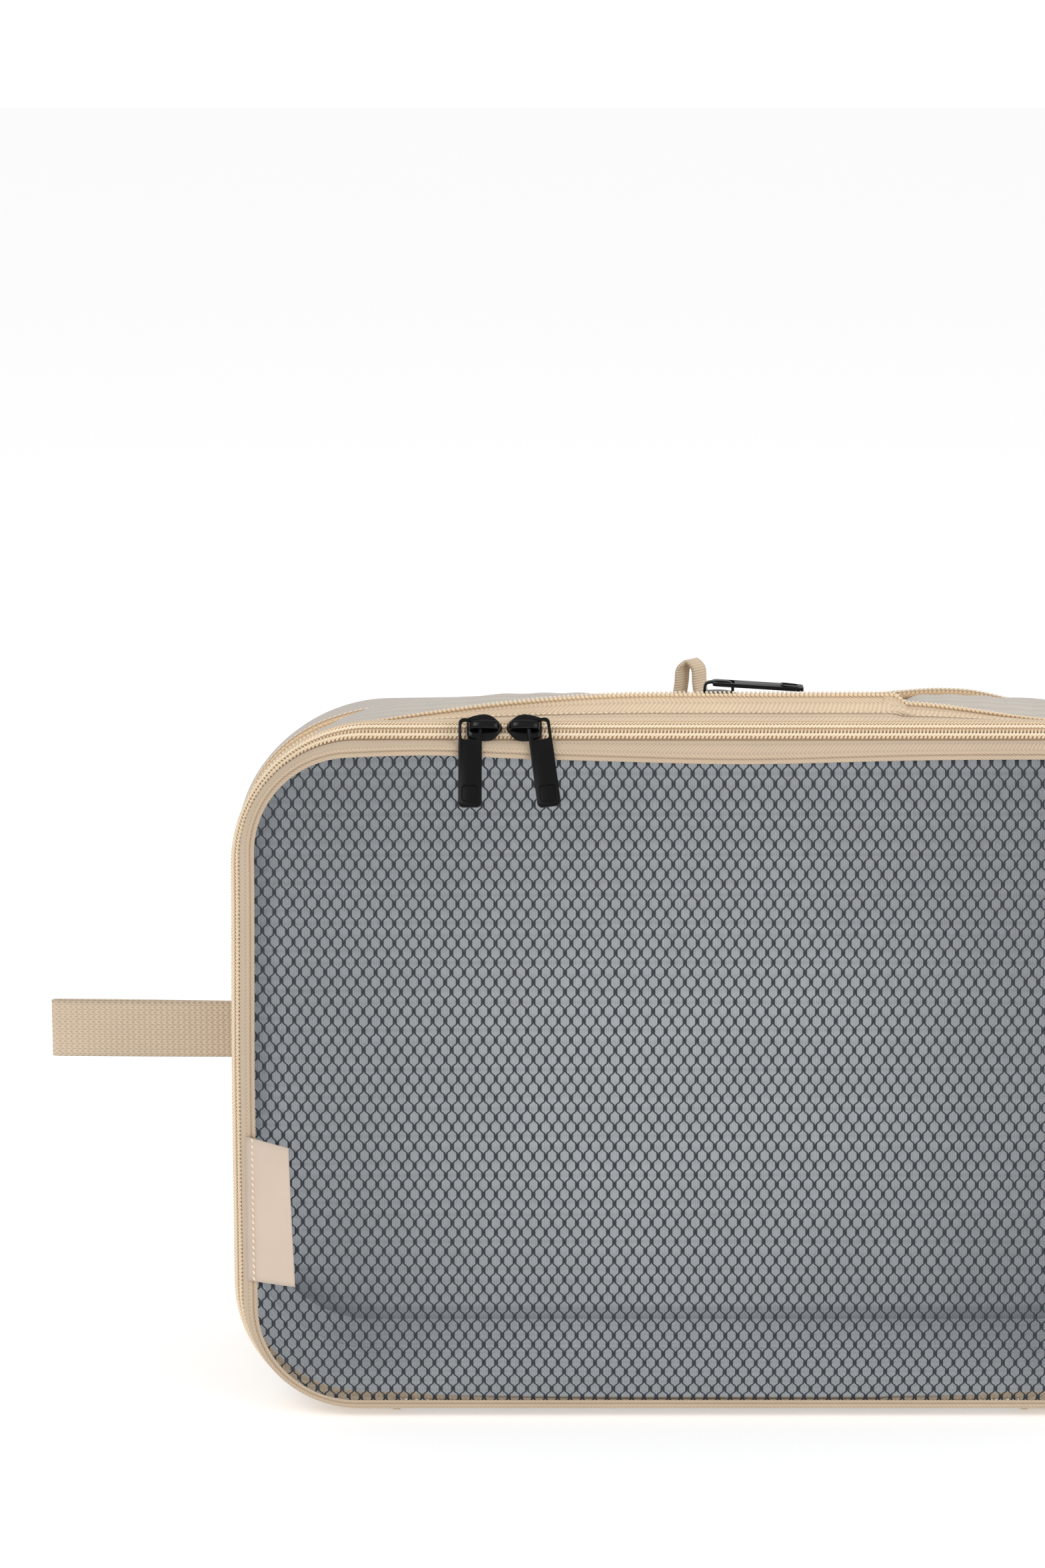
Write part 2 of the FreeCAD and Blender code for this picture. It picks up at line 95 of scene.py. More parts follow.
def stretches(rim):
    # centre, travel, radius, first angle and turn of the nine stretches of a rim
    half, top, low, upper, lower = rim
    tall = top - upper - low - lower
    return np.array([
        (0, low, half - lower, 0, 0, -90, 0),
        (half - lower, low + lower, 0, 0, lower, -90, 90),
        (half, low + lower, 0, tall, 0, 0, 0),
        (half - upper, top - upper, 0, 0, upper, 0, 90),
        (half - upper, top, 2 * (upper - half), 0, 0, 90, 0),
        (upper - half, top - upper, 0, 0, upper, 90, 90),
        (-half, top - upper, 0, -tall, 0, 180, 0),
        (lower - half, low + lower, 0, 0, lower, 180, 90),
        (lower - half, low, half - lower, 0, 0, 270, 0),
    ])


crest = stretches(outline("crest"))
lengths = np.hypot(crest[:, 2], crest[:, 3]) + crest[:, 4] * np.radians(crest[:, 6])
marks = np.concatenate([[0], np.cumsum(lengths)]) / lengths.sum()
girth = lengths.sum()


def around(rim, t):
    # t runs from 0 to 1, from the middle of the base, first to the right
    part = np.clip(np.searchsorted(marks, t, side="right") - 1, 0, 8)
    f = (t - marks[part]) / (marks[part + 1] - marks[part])
    x, z, dx, dz, radius, angle, turn = stretches(rim)[part].T
    a = np.radians(angle + f * turn)
    normal = np.stack([np.cos(a), np.sin(a)], 1)
    return np.stack([x + f * dx, z + f * dz], 1) + radius[:, None] * normal, normal


def ease(a, b, v):
    s = np.clip((v - a) / (b - a), 0, 1)
    return s * s * (3 - 2 * s)


def hoop(line, y, tuck=0.0, sag=0.0, wave=0.0, inset=0.0):
    return {"rim": outline(line, inset), "y": y, "out": 0.0, "tuck": tuck, "sag": sag, "wave": wave}


def between(a, b, count, swell=0.0):
    # hoops from a to b, swelling outward on the way
    made = []
    for s in np.linspace(0, 1, count):
        mixed = {key: a[key] * (1 - s) + b[key] * s for key in a}
        mixed["out"] += swell * math.sin(math.pi * s)
        made.append(mixed)
    return made


def laid(ring, t):
    # the points of a hoop at t, with the collars' slack, and the outward direction
    point, normal = around(ring["rim"], t)
    x, z = point[:, 0].copy(), point[:, 1].copy()
    left = np.clip((-0.018 - x) / 0.088, 0, 1) ** 2
    right = 0.33 * ease(0.0588, 0.0620, x) + 0.67 * ease(0.060, 0.112, x)
    slack = ring["tuck"] * (0.07 + 0.93 * np.maximum(left, right))
    hidden = around(outline("chain", 0.0012), t)[0]
    point = point + slack[:, None] * (hidden - point)
    high = ease(0.120, 0.235, z)
    dips = 0.0040 * np.exp(-((x + 0.125) / 0.022) ** 2) - 0.0021 * np.exp(-((x - 0.080) / 0.020) ** 2)
    dips = dips + 0.0035 * ease(0.088, 0.118, x) + 0.0014 * ease(-0.060, -0.090, x)
    low = 0.0102 + dips * ease(0.014, -0.014, ring["y"])
    point[:, 1] -= ring["sag"] * high * low
    leftBow = 0.0014 * np.exp(-((x + 0.098) / 0.028) ** 2)
    middleBow = 0.0016 * np.exp(-((x - 0.008) / 0.045) ** 2)
    point[:, 1] += ring["wave"] * high * (leftBow - middleBow)
    point[:, 0] -= 0.0008 * np.sign(x) * ease(0.110, 0.200, z) * np.abs(normal[:, 0])
    point = point + ring["out"] * normal
    point[:, 1] = np.maximum(point[:, 1], 0)
    ys = np.full(len(t), ring["y"])
    return np.stack([point[:, 0], ys, point[:, 1]], 1), np.stack([normal[:, 0], 0 * ys, normal[:, 1]], 1)


def steps(count, gap=0.0):
    # t of the columns; a gap leaves the base open for that far on each side of its middle
    if gap:
        first = gap / girth
        return np.linspace(first, 1 - first, count)
    return np.arange(count) / count


def newMesh(name, points, faces, uv=None, smooth=True):
    mesh = bpy.data.meshes.new(name)
    mesh.from_pydata([tuple(p) for p in points], [], [tuple(f) for f in faces])
    if uv is not None:
        layer = mesh.uv_layers.new(name="Cloth")
        layer.data.foreach_set("uv", np.array(uv, np.float32).ravel())
    mesh.shade_smooth() if smooth else mesh.shade_flat()
    mesh.update()
    return mesh


def newObject(name, mesh, material=None):
    piece = bpy.data.objects.new(name, mesh)
    scene.collection.objects.link(piece)
    if material:
        mesh.materials.clear()
        mesh.materials.append(material)
    return piece


def gridMesh(name, grid, closed, centre=(0, -0.03, 0.125)):
    # rows by columns of points to quads, facing away from the centre, with UV in metres
    rows, columns = grid.shape[:2]
    wrap = columns if closed else columns - 1
    i, j = np.meshgrid(np.arange(rows - 1), np.arange(wrap), indexing="ij")
    k = (j + 1) % columns
    faces = np.stack([i * columns + j, i * columns + k, (i + 1) * columns + k, (i + 1) * columns + j], -1)
    along = np.linalg.norm(np.diff(grid, axis=1, append=grid[:, :1]), axis=2).mean(0)
    u = np.concatenate([[0], np.cumsum(along)])
    across = np.linalg.norm(np.diff(grid, axis=0), axis=2).mean(1)
    v = np.concatenate([[0], np.cumsum(across)])
    uv = np.stack([
        np.stack([u[j], v[i]], -1), np.stack([u[j + 1], v[i]], -1),
        np.stack([u[j + 1], v[i + 1]], -1), np.stack([u[j], v[i + 1]], -1),
    ], -2)
    faces, uv, points = faces.reshape(-1, 4), uv.reshape(-1, 4, 2), grid.reshape(-1, 3)
    a, b, c = (points[faces[:, n]] for n in (0, 1, 2))
    facing = (np.cross(b - a, c - b) * (a - np.array(centre))).sum()
    if facing < 0:
        faces, uv = faces[:, ::-1], uv[:, ::-1]
    return newMesh(name, points, faces, uv.reshape(-1, 2))


def thicken(piece, depth, offset=-1.0, inside=None):
    # inside is the material of the face that looks into the bag
    change = piece.modifiers.new("Thickness", "SOLIDIFY")
    change.thickness = depth
    change.offset = offset
    if inside:
        piece.data.materials.append(inside)
        change.material_offset = 1
    return piece


def band(name, rings, material, depth, columns=420, gap=0.0, inside=None):
    t = steps(columns, gap)
    grid = np.stack([laid(ring, t)[0] for ring in rings])
    piece = newObject(name, gridMesh(name, grid, not gap), material)
    if depth:
        thicken(piece, depth, inside=inside)
    return piece


# Node helpers


def addNode(tree, kind, sockets=(), **settings):
    node = tree.nodes.new(kind)
    for key, setting in settings.items():
        setattr(node, key, setting)
    for key, source in dict(sockets).items():
        if isinstance(source, bpy.types.NodeSocket):
            tree.links.new(source, node.inputs[key])
        else:
            node.inputs[key].default_value = source
    return node


def sums(tree, operation, *values):
    return addNode(tree, "ShaderNodeMath", dict(enumerate(values)), operation=operation).outputs[0]


def newGroup(name, inputs, outputs):
    tree = bpy.data.node_groups.new(name, "ShaderNodeTree")
    for label, kind, start in inputs:
        made = tree.interface.new_socket(label, in_out="INPUT", socket_type=kind)
        if start is not None:
            made.default_value = start
    for label, kind in outputs:
        tree.interface.new_socket(label, in_out="OUTPUT", socket_type=kind)
    return tree, tree.nodes.new("NodeGroupInput"), tree.nodes.new("NodeGroupOutput")


def weaveGroup():
    # diagonal ribs that turn back every row: Turn is the width of a row. Shade is painted shade, darker in
    # the grooves between the ribs and at the turnings of the rows
    tree, given, result = newGroup("Weave", [
        ("Cloth", "NodeSocketVector", None), ("Pitch", "NodeSocketFloat", 0.0006),
        ("Turn", "NodeSocketFloat", 0.0013), ("Slant", "NodeSocketFloat", 1.0),
    ], [("Height", "NodeSocketFloat"), ("Shade", "NodeSocketFloat")])
    flat = addNode(tree, "ShaderNodeSeparateXYZ", {0: given.outputs["Cloth"]})
    row = sums(tree, "DIVIDE", flat.outputs[1], given.outputs["Turn"])
    zigzag = sums(tree, "MULTIPLY", sums(tree, "PINGPONG", row, 1.0), given.outputs["Turn"])
    along = sums(tree, "ADD", flat.outputs[0], sums(tree, "MULTIPLY", zigzag, given.outputs["Slant"]))
    wavelength = sums(tree, "DIVIDE", given.outputs["Pitch"], 2 * math.pi)
    ribs = sums(tree, "SINE", sums(tree, "DIVIDE", along, wavelength))
    turnings = sums(tree, "COSINE", sums(tree, "MULTIPLY", row, math.pi))
    dips = sums(tree, "POWER", sums(tree, "ABSOLUTE", turnings), 8.0)
    ribs = sums(tree, "MULTIPLY_ADD", ribs, 0.5, 0.5)
    height = sums(tree, "SUBTRACT", ribs, sums(tree, "MULTIPLY", dips, 0.5))
    tree.links.new(height, result.inputs["Height"])
    tree.links.new(sums(tree, "MULTIPLY_ADD", height, 0.19, 0.885), result.inputs["Shade"])
    return tree


def ageGroup():
    # slow patches of colour and fine fuzz, as a factor near one
    tree, given, result = newGroup("Ageing", [
        ("Amount", "NodeSocketFloat", 0.08),
    ], [("Factor", "NodeSocketFloat"), ("Fuzz", "NodeSocketFloat")])
    place = addNode(tree, "ShaderNodeTexCoord").outputs["Object"]
    slow = addNode(tree, "ShaderNodeTexNoise", {
        "Vector": place, "W": 0.0, "Scale": 38.0, "Detail": 3.0}, noise_dimensions="4D")
    fine = addNode(tree, "ShaderNodeTexNoise", {"Vector": place, "Scale": 1900.0, "Detail": 2.0})
    tone = sums(tree, "SUBTRACT", slow.outputs[0], 0.5)
    tree.links.new(sums(tree, "MULTIPLY_ADD", tone, given.outputs["Amount"], 1.0), result.inputs["Factor"])
    tree.links.new(fine.outputs[0], result.inputs["Fuzz"])
    return tree


weave, ageing = weaveGroup(), ageGroup()


def linear(red, green, blue):
    return tuple(((c / 255 + 0.055) / 1.055) ** 2.4 for c in (red, green, blue)) + (1.0,)


def aged(name, amount):
    # a material, with its nodes, its shader and the node that ages it
    material = bpy.data.materials.new(name)
    material.use_nodes = True
    tree = material.node_tree
    age = addNode(tree, "ShaderNodeGroup", node_tree=ageing)
    age.inputs["Amount"].default_value = amount
    return material, tree, tree.nodes["Principled BSDF"], age


def cloth(name, colour, pitch=0.0006, turn=0.0013, slant=1.0, depth=0.00012, sheen=0.25, rough=0.85,
          fuzz=0.25):
    material, tree, shader, age = aged(name, 0.16)
    place = addNode(tree, "ShaderNodeUVMap", uv_map="Cloth").outputs[0]
    pattern = addNode(tree, "ShaderNodeGroup", node_tree=weave)
    for key, source in (("Pitch", pitch), ("Turn", turn), ("Slant", slant)):
        pattern.inputs[key].default_value = source
    tree.links.new(place, pattern.inputs["Cloth"])
    # tone: the weave's painted groove shade times the ageing patches
    tone = sums(tree, "MULTIPLY", pattern.outputs["Shade"], age.outputs["Factor"])
    mixed = addNode(tree, "ShaderNodeVectorMath", {0: colour[:3]}, operation="SCALE")
    tree.links.new(tone, mixed.inputs["Scale"])
    tree.links.new(mixed.outputs[0], shader.inputs["Base Color"])
    height = sums(tree, "MULTIPLY_ADD", age.outputs["Fuzz"], fuzz, pattern.outputs["Height"])
    bump = addNode(tree, "ShaderNodeBump", {"Height": height, "Strength": 0.7, "Distance": depth})
    tree.links.new(bump.outputs[0], shader.inputs["Normal"])
    shader.inputs["Roughness"].default_value = rough
    shader.inputs["Sheen Weight"].default_value = sheen
    shader.inputs["Sheen Roughness"].default_value = 0.5
    shader.inputs["Specular IOR Level"].default_value = 0.25
    return material


def hard(name, colour, rough=0.35, coat=0.0, grain=0.00001, level=0.5):
    material, tree, shader, age = aged(name, 0.1)
    mixed = addNode(tree, "ShaderNodeVectorMath", {0: colour[:3]}, operation="SCALE")
    tree.links.new(age.outputs["Factor"], mixed.inputs["Scale"])
    tree.links.new(mixed.outputs[0], shader.inputs["Base Color"])
    rougher = sums(tree, "MULTIPLY", age.outputs["Factor"], rough)
    tree.links.new(rougher, shader.inputs["Roughness"])
    bump = addNode(tree, "ShaderNodeBump", {
        "Height": age.outputs["Fuzz"], "Strength": 0.4, "Distance": grain})
    tree.links.new(bump.outputs[0], shader.inputs["Normal"])
    shader.inputs["Coat Weight"].default_value = coat
    shader.inputs["Coat Roughness"].default_value = 0.12
    shader.inputs["Specular IOR Level"].default_value = level
    return material


finish = {
    "tape": cloth("TapeWeave", linear(218, 196, 168), pitch=0.0015, turn=0.0024, depth=0.00022),
    "lidTape": cloth("LidTapeWeave", linear(200, 179, 154), pitch=0.0013, turn=0.0030, depth=0.0002),
    # warmer and a little darker than the tape: painted shade on the rear collar's inner face, in the gap
    # between the collars
    "rearTape": cloth("RearTapeShadedWeave", linear(222, 190, 152), pitch=0.0015, turn=0.0024, depth=0.0002),
    "ripstop": cloth("Ripstop", linear(205, 197, 187),
        pitch=0.0005, turn=0.004, slant=0.0, depth=0.00008, sheen=0.1, rough=0.6),
    "lining": cloth("Lining", linear(210, 214, 218),
        pitch=0.0008, turn=0.005, slant=0.0, depth=0.00005, sheen=0.1, rough=0.7),
    # the tape under the chain rows, painted darker than the tape: painted shade between the rows
    "shadedBed": cloth("ChainBedPaintedShade", linear(190, 166, 138)),
    "webbing": cloth("Webbing", linear(222, 201, 175),
        pitch=0.0020, turn=0.0009, slant=1.1, depth=0.0005, fuzz=0.3),
    "grosgrain": cloth("Grosgrain", linear(222, 202, 174), pitch=0.0009, turn=0.02, slant=0.0, depth=0.0003),
    "satin": cloth("Satin", linear(209, 190, 173),
        pitch=0.0003, turn=0.02, slant=0.0, depth=0.00002, sheen=0.3, rough=0.5),
    "net": cloth("NetKnit", linear(55, 61, 69),
        pitch=0.0004, turn=0.01, slant=0.0, depth=0.00003, sheen=0.15, rough=0.75),
    "coil": hard("CoilNylon", linear(228, 205, 173), rough=0.5),
    "thread": hard("StitchThread", linear(238, 220, 193), rough=0.75),
    "tooth": hard("ToothHead", linear(240, 228, 207), rough=0.35),
    "slider": hard("SliderGloss", linear(10, 10, 11), rough=0.2, coat=0.12, level=0.14),
    "pull": hard("PullSatin", linear(12, 12, 13), rough=0.3, grain=0.00002, level=0.12),
}
print("stage: materials made")

# Repeated parts along a rail or at points, by Geometry Nodes


def openGroup(name, sockets):
    # a geometry group fed by points, a part and a finish; each socket has a key, a label and a kind
    tree = bpy.data.node_groups.new(name, "GeometryNodeTree")
    keys = {}
    for key, label, kind in sockets + [("part", "Part", "Object"), ("material", "Finish", "Material")]:
        made = tree.interface.new_socket(label, in_out="INPUT", socket_type="NodeSocket" + kind)
        keys[key] = made.identifier
    tree.interface.new_socket("Pieces", in_out="OUTPUT", socket_type="NodeSocketGeometry")
    given = tree.nodes.new("NodeGroupInput")
    return tree, keys, given, addNode(tree, "GeometryNodeObjectInfo", {"Object": given.outputs["Part"]})


def closeGroup(tree, given, placed):
    real = addNode(tree, "GeometryNodeRealizeInstances", {0: placed.outputs[0]})
    dressed = addNode(tree, "GeometryNodeSetMaterial", {
        "Geometry": real.outputs[0], "Material": given.outputs["Finish"]})
    tree.links.new(dressed.outputs[0], tree.nodes.new("NodeGroupOutput").inputs[0])


def railGroup():
    tree, keys, given, part = openGroup("RepeatAlong", [
        ("rail", "Rail", "Geometry"), ("pitch", "Pitch", "Float"),
    ])
    curve = addNode(tree, "GeometryNodeMeshToCurve", {0: given.outputs["Rail"]})
    spaced = addNode(tree, "GeometryNodeResampleCurve", {
        "Curve": curve.outputs[0], "Length": given.outputs["Pitch"]}, mode="LENGTH")
    outward = addNode(tree, "GeometryNodeInputNamedAttribute", {"Name": "outward"}, data_type="FLOAT_VECTOR")
    tangent = addNode(tree, "GeometryNodeInputTangent")
    turned = addNode(tree, "FunctionNodeAlignRotationToVector", {"Vector": tangent.outputs[0]}, axis="X")
    upright = addNode(tree, "FunctionNodeAlignRotationToVector", {
        "Rotation": turned.outputs[0], "Vector": outward.outputs["Attribute"]}, axis="Z", pivot_axis="X")
    placed = addNode(tree, "GeometryNodeInstanceOnPoints", {
        "Points": spaced.outputs[0], "Instance": part.outputs["Geometry"], "Rotation": upright.outputs[0]})
    closeGroup(tree, given, placed)
    return tree, keys


def cellGroup():
    tree, keys, given, part = openGroup("RepeatCells", [("cells", "Cells", "Geometry")])
    placed = addNode(tree, "GeometryNodeInstanceOnPoints", {
        "Points": given.outputs["Cells"], "Instance": part.outputs["Geometry"]})
    closeGroup(tree, given, placed)
    return tree, keys


alongRail, overCells = railGroup(), cellGroup()


def grown(name, base, group, settings):
    # run a node group on a mesh and keep the result as a plain mesh
    tree, keys = group
    carrier = newObject(name + "Rail", base)
    change = carrier.modifiers.new("Repeat", "NODES")
    change.node_group = tree
    for key, setting in settings.items():
        change[keys[key]] = setting
    bpy.context.view_layer.update()
    shown = carrier.evaluated_get(bpy.context.evaluated_depsgraph_get())
    mesh = bpy.data.meshes.new_from_object(shown)
    mesh.name = name
    mesh.shade_smooth()
    bpy.data.objects.remove(carrier)
    return newObject(name, mesh)


def rail(name, ring, closed, gap=0.0, columns=900, tilt=0.0):
    # a polyline at a hoop; tilt leans the outward direction to the front
    points, normal = laid(ring, steps(columns, gap))
    mesh = bpy.data.meshes.new(name)
    edges = [(n, n + 1) for n in range(columns - 1)] + ([(columns - 1, 0)] if closed else [])
    mesh.from_pydata([tuple(p) for p in points], edges, [])
    lean = normal * math.cos(tilt) + np.array([0, -math.sin(tilt), 0])
    outward = mesh.attributes.new("outward", "FLOAT_VECTOR", "POINT")
    outward.data.foreach_set("vector", lean.astype(np.float32).ravel())
    return mesh


def capsule(name, length, radius, axis=(1, 0, 0), flat=1.0, sides=6, rounds=2):
    # a short rounded bar of thread or coil along an axis in the rail's own directions
    direction = Vector(axis).normalized()
    turn = direction.to_track_quat("X", "Z").to_matrix()
    rings = []
    quarter = math.radians(90)
    reach = max(length / 2 - radius, 0)
    for end in (-1, 1):
        for n in range(rounds):
            a = quarter * (n + 0.35) / rounds if end > 0 else quarter * (1 - (n + 0.65) / rounds)
            rings.append((end * (reach + radius * math.sin(a)), radius * math.cos(a)))
    angles = [2 * math.pi * k / sides for k in range(sides)]
    points = [turn @ Vector((x, r * math.cos(a), r * flat * math.sin(a))) for x, r in rings for a in angles]
    faces = []
    for n in range(len(rings) - 1):
        near, far = n * sides, (n + 1) * sides
        faces += [(near + k, near + (k + 1) % sides, far + (k + 1) % sides, far + k) for k in range(sides)]
    tips = len(points)
    points += [turn @ Vector((-reach - radius, 0, 0)), turn @ Vector((reach + radius, 0, 0))]
    last = (len(rings) - 1) * sides
    faces += [(tips, (k + 1) % sides, k) for k in range(sides)]
    faces += [(tips + 1, last + k, last + (k + 1) % sides) for k in range(sides)]
    piece = newObject(name, newMesh(name, points, [f[::-1] for f in faces]))
    piece.hide_render = True
    piece.location = (0, 0, 0)
    return piece


def row(name, ring, part, pitch, material, gap=0.0, tilt=0.0):
    return grown(name, rail(name + "Line", ring, not gap, gap, tilt=tilt), alongRail,
                 {"part": part, "pitch": pitch, "material": material})


def rowsOf(lines, gap=0.0, tilt=0.0):
    # several rows, each given as name, hoop, bead, pitch and finish
    return [row(name, ring, bead[part], pitch, finish[look], gap, tilt)
            for name, ring, part, pitch, look in lines]


def joined(name, pieces):
    # several plain meshes as one piece, keeping their materials
    bpy.ops.object.select_all(action="DESELECT")
    for piece in pieces:
        piece.select_set(True)
    bpy.context.view_layer.objects.active = pieces[0]
    bpy.ops.object.join()
    pieces[0].name = name
    pieces[0].data.name = name
    return pieces[0]


bead = {
    "loop": capsule("loopPart", 0.0012, 0.00036, (0.2, 1, 0), 0.8),
    "stitch": capsule("stitchPart", 0.0014, 0.00034, (1, 0.45, 0), 0.9),
    "twist": capsule("twistPart", 0.0019, 0.00052, (1, 0.62, 0), 0.9),
    "bead": capsule("beadPart", 0.0015, 0.00050, (0.5, 1, 0), 1.0),
    "rope": capsule("ropePart", 0.0027, 0.00062, (0.75, 1, 0), 1.0, 7),
    "tooth": capsule("toothPart", 0.0011, 0.00050, (0, 1, 0), 1.0, 7),
}
print("stage: repeat groups ready")

# Rear section
seamRear = hoop("seam", stations["rearSeam"], sag=0.55)
tapeRear = hoop("tape", stations["rearTapeFront"], sag=0.95)
crestRear = hoop("crest", stations["rearCoilFront"] + 0.0018, sag=1.0, inset=0.0006)
wallBack = hoop("seam", stations["back"] + 0.0007, sag=1.28)

wallRings = between(seamRear, wallBack, 12, 0.0016)
rearWall = thicken(band("rearWall", wallRings, finish["ripstop"], 0), 0.0012, inside=finish["lining"])
rearTapeRings = between(seamRear, tapeRear, 5, 0.0003) + [dict(crestRear, out=-0.0002)]
rearTape = band("rearCollarTape", rearTapeRings, finish["rearTape"], 0.0012)


def disc(name, ring, material, bulge, rounds=14, columns=240, depth=0.001):
    # a panel that fills a hoop, bulging along Y towards its middle
    t = steps(columns)
    edge = laid(ring, t)[0]
    middle = edge.mean(0)
    grid = []
    for s in np.linspace(0, 1, rounds, endpoint=False):
        shrunk = middle + (edge - middle) * (1 - s)
        shrunk[:, 1] = ring["y"] + bulge * (1 - (1 - s) ** 4)
        grid.append(shrunk)
    mesh = gridMesh(name, np.stack(grid), True)
    shape = bmesh.new()
    shape.from_mesh(mesh)
    start = (rounds - 1) * columns
    centre = shape.verts.new((middle[0], ring["y"] + bulge, middle[2]))
    shape.verts.ensure_lookup_table()
    for k in range(columns):
        shape.faces.new((shape.verts[start + k], shape.verts[start + (k + 1) % columns], centre))
    layer = shape.loops.layers.uv["Cloth"]
    for face in shape.faces:
        for loop in face.loops:
            loop[layer].uv = (loop.vert.co.x, loop.vert.co.z)
    bmesh.ops.recalc_face_normals(shape, faces=shape.faces)
    shape.to_mesh(mesh)
    shape.free()
    mesh.shade_smooth()
    piece = newObject(name, mesh, material)
    return thicken(piece, depth, 0.0)


backPanel = disc("backPanel", hoop("seam", 0.0186, sag=1.28, inset=0.0004), finish["ripstop"], 0.003)
liningEdge = hoop("seam", 0.0140, sag=1.28, inset=0.0006)
backLining = disc("backLining", liningEdge, finish["lining"], 0.0040, depth=0.0005)


def roll(name, ring, radius, material, columns=420, sides=9):
    # a soft tube of binding that follows a hoop
    t = steps(columns)
    grid = []
    for a in np.linspace(0, 2 * math.pi, sides, endpoint=False):
        turned = dict(ring)
        turned["y"] = ring["y"] + radius * math.cos(a)
        turned["out"] = ring["out"] + radius * math.sin(a)
        grid.append(laid(turned, t)[0])
    grid.append(grid[0])
    mesh = gridMesh(name, np.stack(grid), True)
    shape = bmesh.new()
    shape.from_mesh(mesh)
    bmesh.ops.remove_doubles(shape, verts=shape.verts, dist=1e-7)
    bmesh.ops.recalc_face_normals(shape, faces=shape.faces)
    shape.to_mesh(mesh)
    shape.free()
    mesh.shade_smooth()
    return newObject(name, mesh, material)


backBinding = roll("backBinding", hoop("seam", 0.0197, sag=1.28, inset=0.0012), 0.0014, finish["tape"])
rearTeethLine = hoop("crest", stations["rearCoilFront"] + 0.0009, sag=1.0, inset=-0.0002)
rearStitchLine = between(seamRear, tapeRear, 3, 0.0004)[1]
rearCoil = joined("rearCollarCoil", rowsOf([
    ("rearRope", crestRear, "rope", 0.0015, "coil"),
    ("rearTeeth", rearTeethLine, "tooth", 0.0015, "tooth"),
], tilt=0.5) + rowsOf([
    ("rearSeamStitch", dict(seamRear, y=-0.0183, out=0.0002), "stitch", 0.0019, "thread"),
    ("rearTapeStitch", rearStitchLine, "stitch", 0.0019, "thread"),
]))
print("stage: rear section built")

# Front section
seamFront = hoop("seam", stations["frontSeam"], tuck=0.9)
tapeFront = hoop("tape", stations["frontTapeBack"], tuck=1.0)
crestFront = hoop("crest", stations["frontCoilBack"] - 0.0018, tuck=1.0, inset=0.0006)
chainTop = hoop("chain", stations["chainBack"])
chainEnd = hoop("split", stations["chainSplit"])
lidStart = hoop("split", stations["lidBack"], inset=0.0003)
lidLine = hoop("lid", stations["lidTapeBack"])
meshLine = hoop("mesh", stations["lidFront"], wave=1.0)
chainTilt = math.radians(60)

frontTapeRings = between(seamFront, tapeFront, 5, 0.0005) + [dict(crestFront, out=-0.0002)]
frontTape = band("frontCollarTape", frontTapeRings, finish["tape"], 0.0012)
upperTape = band("upperTape", between(chainTop, seamFront, 6, 0.0004), finish["tape"], 0.0014, gap=hingeHalf)
frontTeethLine = hoop("crest", stations["frontCoilBack"] - 0.0009, tuck=1.0, inset=-0.0002)
frontCoil = joined("frontCollarCoil", rowsOf([
    ("frontRope", crestFront, "rope", 0.0015, "coil"),
    ("frontTeeth", frontTeethLine, "tooth", 0.0015, "tooth"),
], tilt=-0.5) + rowsOf([
    ("frontSeamStitch", dict(seamFront, y=-0.0716, out=0.0005), "stitch", 0.0019, "thread"),
]))
chainFront = between(chainTop, chainEnd, 5, 0.0)
chainSteps = between(chainTop, chainEnd, 12)
mainChain = joined("mainChain", rowsOf([
    ("chainStitch", dict(chainSteps[2], out=0.0004), "stitch", 0.00115, "coil"),
    ("chainRope", dict(chainSteps[6], out=0.0005), "twist", 0.0012, "thread"),
    ("chainTeeth", dict(chainSteps[10], out=0.0001), "loop", 0.0012, "coil"),
], hingeHalf, chainTilt))
# the tape under the main chain carries the painted shade between its rows
mainTape = band("mainTape", chainFront, finish["shadedBed"], 0.001, gap=hingeHalf, inside=finish["lining"])


def gussetPiece():
    t = steps(520)
    front = hoop("seam", stations["frontTapeBack"] - 0.001, tuck=0.95, inset=0.0016)
    rear = hoop("seam", stations["rearTapeFront"] + 0.001, sag=0.75, inset=0.0016)
    rows = []
    count = 30
    for n, ring in enumerate(between(front, rear, count)):
        s = n / (count - 1)
        points, normal = laid(ring, t)
        high = ease(0.120, 0.235, points[:, 2])
        side = 1 - ease(-0.048, 0.004, points[:, 0]) + 0.8 * ease(0.058, 0.072, points[:, 0])
        upward = np.clip(normal[:, 2], 0, 1) ** 4 * ease(-0.150, -0.100, points[:, 0])
        rise = 0.0066 * high * upward * (0.2 + 0.8 * side) * (1 - 0.15 * ease(-0.070, -0.100, points[:, 0]))
        swell = (0.0008 + rise) * math.sin(math.pi * s) ** 1.6
        folds = 0.00016 * math.sin(s * math.pi) * np.sin(2 * math.pi * t * 90 + 5 * s + 2 * np.sin(t * 60))
        raised = np.where(points[:, 2] < 0.004, 0.0, 1.0)
        rows.append(points + normal * (swell + folds)[:, None] * raised[:, None])
    piece = newObject("gusset", gridMesh("gusset", np.stack(rows), True), finish["ripstop"])
    return thicken(piece, 0.0006, inside=finish["lining"])


gusset = gussetPiece()
print("stage: front section built")

# Lid


def pipingRows():
    # the lid tape is rounded like piping, and rolls in behind itself at the mesh
    rows = []
    for a in np.linspace(0, math.pi, 13):
        s, puff = (1 + math.cos(a)) / 2, abs(math.sin(a)) ** 0.75
        ring = {key: meshLine[key] * (1 - s) + lidLine[key] * s for key in meshLine}
        ring["y"] -= 0.0012 * puff
        ring["out"] = 0.0012 * puff
        rows.append(ring)
    return rows + [dict(hoop("mesh", stations["lidFront"] + 0.0008, wave=1.0, inset=0.0004))]


